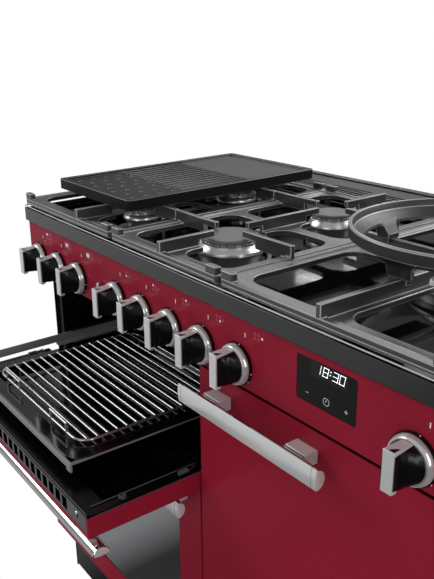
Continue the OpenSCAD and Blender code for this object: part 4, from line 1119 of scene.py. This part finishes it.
class COOKER_OT_stage(bpy.types.Operator):
    """Set the floor, lamps, world and camera"""
    bl_idname = "cooker.stage"
    bl_label = "Stage"

    def execute(self, context):
        self.floor(context.scene.cooker_stage)
        self.world(context.scene)
        self.lamps()
        self.camera(context.scene)
        context.scene.view_settings.view_transform = "Standard"
        return {"FINISHED"}

    def floor(self, settings):
        shape = bmesh.new()
        bmesh.ops.create_grid(shape, x_segments=1, y_segments=1, size=settings.floor_size / 2)
        mesh = bpy.data.meshes.new("studio_floor")
        shape.to_mesh(mesh)
        shape.free()
        material = bpy.data.materials.new("Pale studio floor")
        material.use_nodes = True
        tree = material.node_tree
        tree.nodes.clear()
        diffuse = add(tree, "ShaderNodeBsdfDiffuse", {"Color": linear("#f4f4f4")})
        glow = add(tree, "ShaderNodeEmission", {"Color": linear("#ffffff"), "Strength": 1.0})
        path = add(tree, "ShaderNodeLightPath")
        # Reflections see a painted reflection in place of the lit floor: a glow that is dark before the
        # cooker and pales towards its left, in metres
        near, far = -0.4, -3.9
        spot = add(tree, "ShaderNodeTexCoord")
        split = add(tree, "ShaderNodeSeparateXYZ", links={0: spot.outputs["Object"]})
        reach = add(tree, "ShaderNodeMapRange", {"From Min": near, "From Max": far},
                    {"Value": split.outputs["X"]})
        shade = add(tree, "ShaderNodeValToRGB", links={"Fac": reach.outputs["Result"]})
        stops = shade.color_ramp.elements
        stops[0].position = 0.02
        stops[0].color = (0.01, 0.01, 0.01, 1)
        stops[1].color = (1, 1, 1, 1)
        stops.new(0.058).color = (0.5, 0.5, 0.5, 1)
        # The glow that reflections see: a painted reflection
        dark = add(tree, "ShaderNodeEmission", {"Strength": 0.6}, {"Color": shade.outputs["Color"]})
        mirror = add(tree, "ShaderNodeMixShader", links={
            "Fac": path.outputs["Is Glossy Ray"], 1: diffuse.outputs["BSDF"], 2: dark.outputs["Emission"]})
        mix = add(tree, "ShaderNodeMixShader", links={
            "Fac": path.outputs["Is Camera Ray"], 1: mirror.outputs["Shader"], 2: glow.outputs["Emission"]})
        add(tree, "ShaderNodeOutputMaterial", links={"Surface": mix.outputs["Shader"]})
        mesh.materials.append(material)
        floor = bpy.data.objects.new("studio_floor", mesh)
        bpy.context.collection.objects.link(floor)

    def world(self, scene):
        world = bpy.data.worlds.new("Studio world")
        world.use_nodes = True
        tree = world.node_tree
        tree.nodes.clear()
        path = add(tree, "ShaderNodeLightPath")
        seen = add(tree, "ShaderNodeMath", {"operation": "MAXIMUM"},
                   {0: path.outputs["Is Camera Ray"], 1: path.outputs["Is Transmission Ray"]})
        # Reflections and soft light come from a dimmer room than the white background
        dim = add(tree, "ShaderNodeBackground", {"Color": linear("#ffffff"), "Strength": 0.32})
        white = add(tree, "ShaderNodeBackground", {"Color": linear("#ffffff"), "Strength": 1.0})
        mix = add(tree, "ShaderNodeMixShader", links={
            "Fac": seen.outputs[0], 1: dim.outputs["Background"], 2: white.outputs["Background"]})
        add(tree, "ShaderNodeOutputWorld", links={"Surface": mix.outputs["Shader"]})
        scene.world = world

    def lamps(self):
        for name, eye, aim, wide, high, watts in LAMPS:
            lamp = bpy.data.lights.new(name, "AREA")
            lamp.shape = "RECTANGLE"
            lamp.size = wide
            lamp.size_y = high
            lamp.energy = watts
            holder = bpy.data.objects.new(name, lamp)
            bpy.context.collection.objects.link(holder)
            turn = (Vector(aim) - Vector(eye)).to_track_quat("-Z", "Y").to_matrix().to_4x4()
            holder.matrix_world = Matrix.Translation(eye) @ turn

    def camera(self, scene):
        settings = scene.cooker_stage
        camera = bpy.data.cameras.new("Camera")
        camera.sensor_width = 36
        camera.sensor_fit = "AUTO"
        camera.lens = settings.lens
        camera.shift_x = (PHOTO_WIDE / 2 - AXIS_X) / PHOTO_HIGH
        camera.shift_y = -(PHOTO_HIGH / 2 - AXIS_Y) / PHOTO_HIGH
        camera.clip_start = 0.01
        holder = bpy.data.objects.new("Camera", camera)
        scene.collection.objects.link(holder)
        yaw, pitch, roll = settings.turn
        forward = Vector((-math.sin(yaw) * math.cos(pitch), math.cos(yaw) * math.cos(pitch), math.sin(pitch)))
        right0 = Vector((math.cos(yaw), math.sin(yaw), 0))
        up0 = right0.cross(forward)
        right = math.cos(roll) * right0 + math.sin(roll) * up0
        up = -math.sin(roll) * right0 + math.cos(roll) * up0
        turn = Matrix((right, up, -forward)).transposed()
        holder.matrix_world = Matrix.Translation(settings.eye) @ turn.to_4x4()
        scene.camera = holder


class COOKER_PT_panel(bpy.types.Panel):
    """Lists the steps that dress the cooker"""
    bl_label = "Range cooker"
    bl_idname = "COOKER_PT_panel"
    bl_space_type = "VIEW_3D"
    bl_region_type = "UI"
    bl_category = "Cooker"

    def draw(self, context):
        settings = context.scene.cooker_finish
        for name in ("door_colour", "clock_hours", "clock_minutes"):
            self.layout.prop(settings, name)
        for name in ("floor_size", "lens", "eye", "turn"):
            self.layout.prop(context.scene.cooker_stage, name)
        for step in STEPS:
            self.layout.operator(step.bl_idname)


STEPS = (COOKER_OT_stage, COOKER_OT_carcass, COOKER_OT_hob, COOKER_OT_knobs, COOKER_OT_doors,
         COOKER_OT_grill, COOKER_OT_controls)
CLASSES = (FinishSettings, StageSettings) + STEPS + (COOKER_PT_panel,)


def register():
    for cls in CLASSES:
        bpy.utils.register_class(cls)
    bpy.types.Scene.cooker_finish = bpy.props.PointerProperty(type=FinishSettings)
    bpy.types.Scene.cooker_stage = bpy.props.PointerProperty(type=StageSettings)


def unregister():
    del bpy.types.Scene.cooker_stage
    del bpy.types.Scene.cooker_finish
    for cls in reversed(CLASSES):
        bpy.utils.unregister_class(cls)


def main():
    register()
    bpy.ops.cooker.stage()
    bpy.ops.cooker.carcass()
    bpy.ops.cooker.hob()
    bpy.ops.cooker.knobs()
    bpy.ops.cooker.doors()
    bpy.ops.cooker.grill()
    bpy.ops.cooker.controls()


if __name__ == "__main__":
    main()
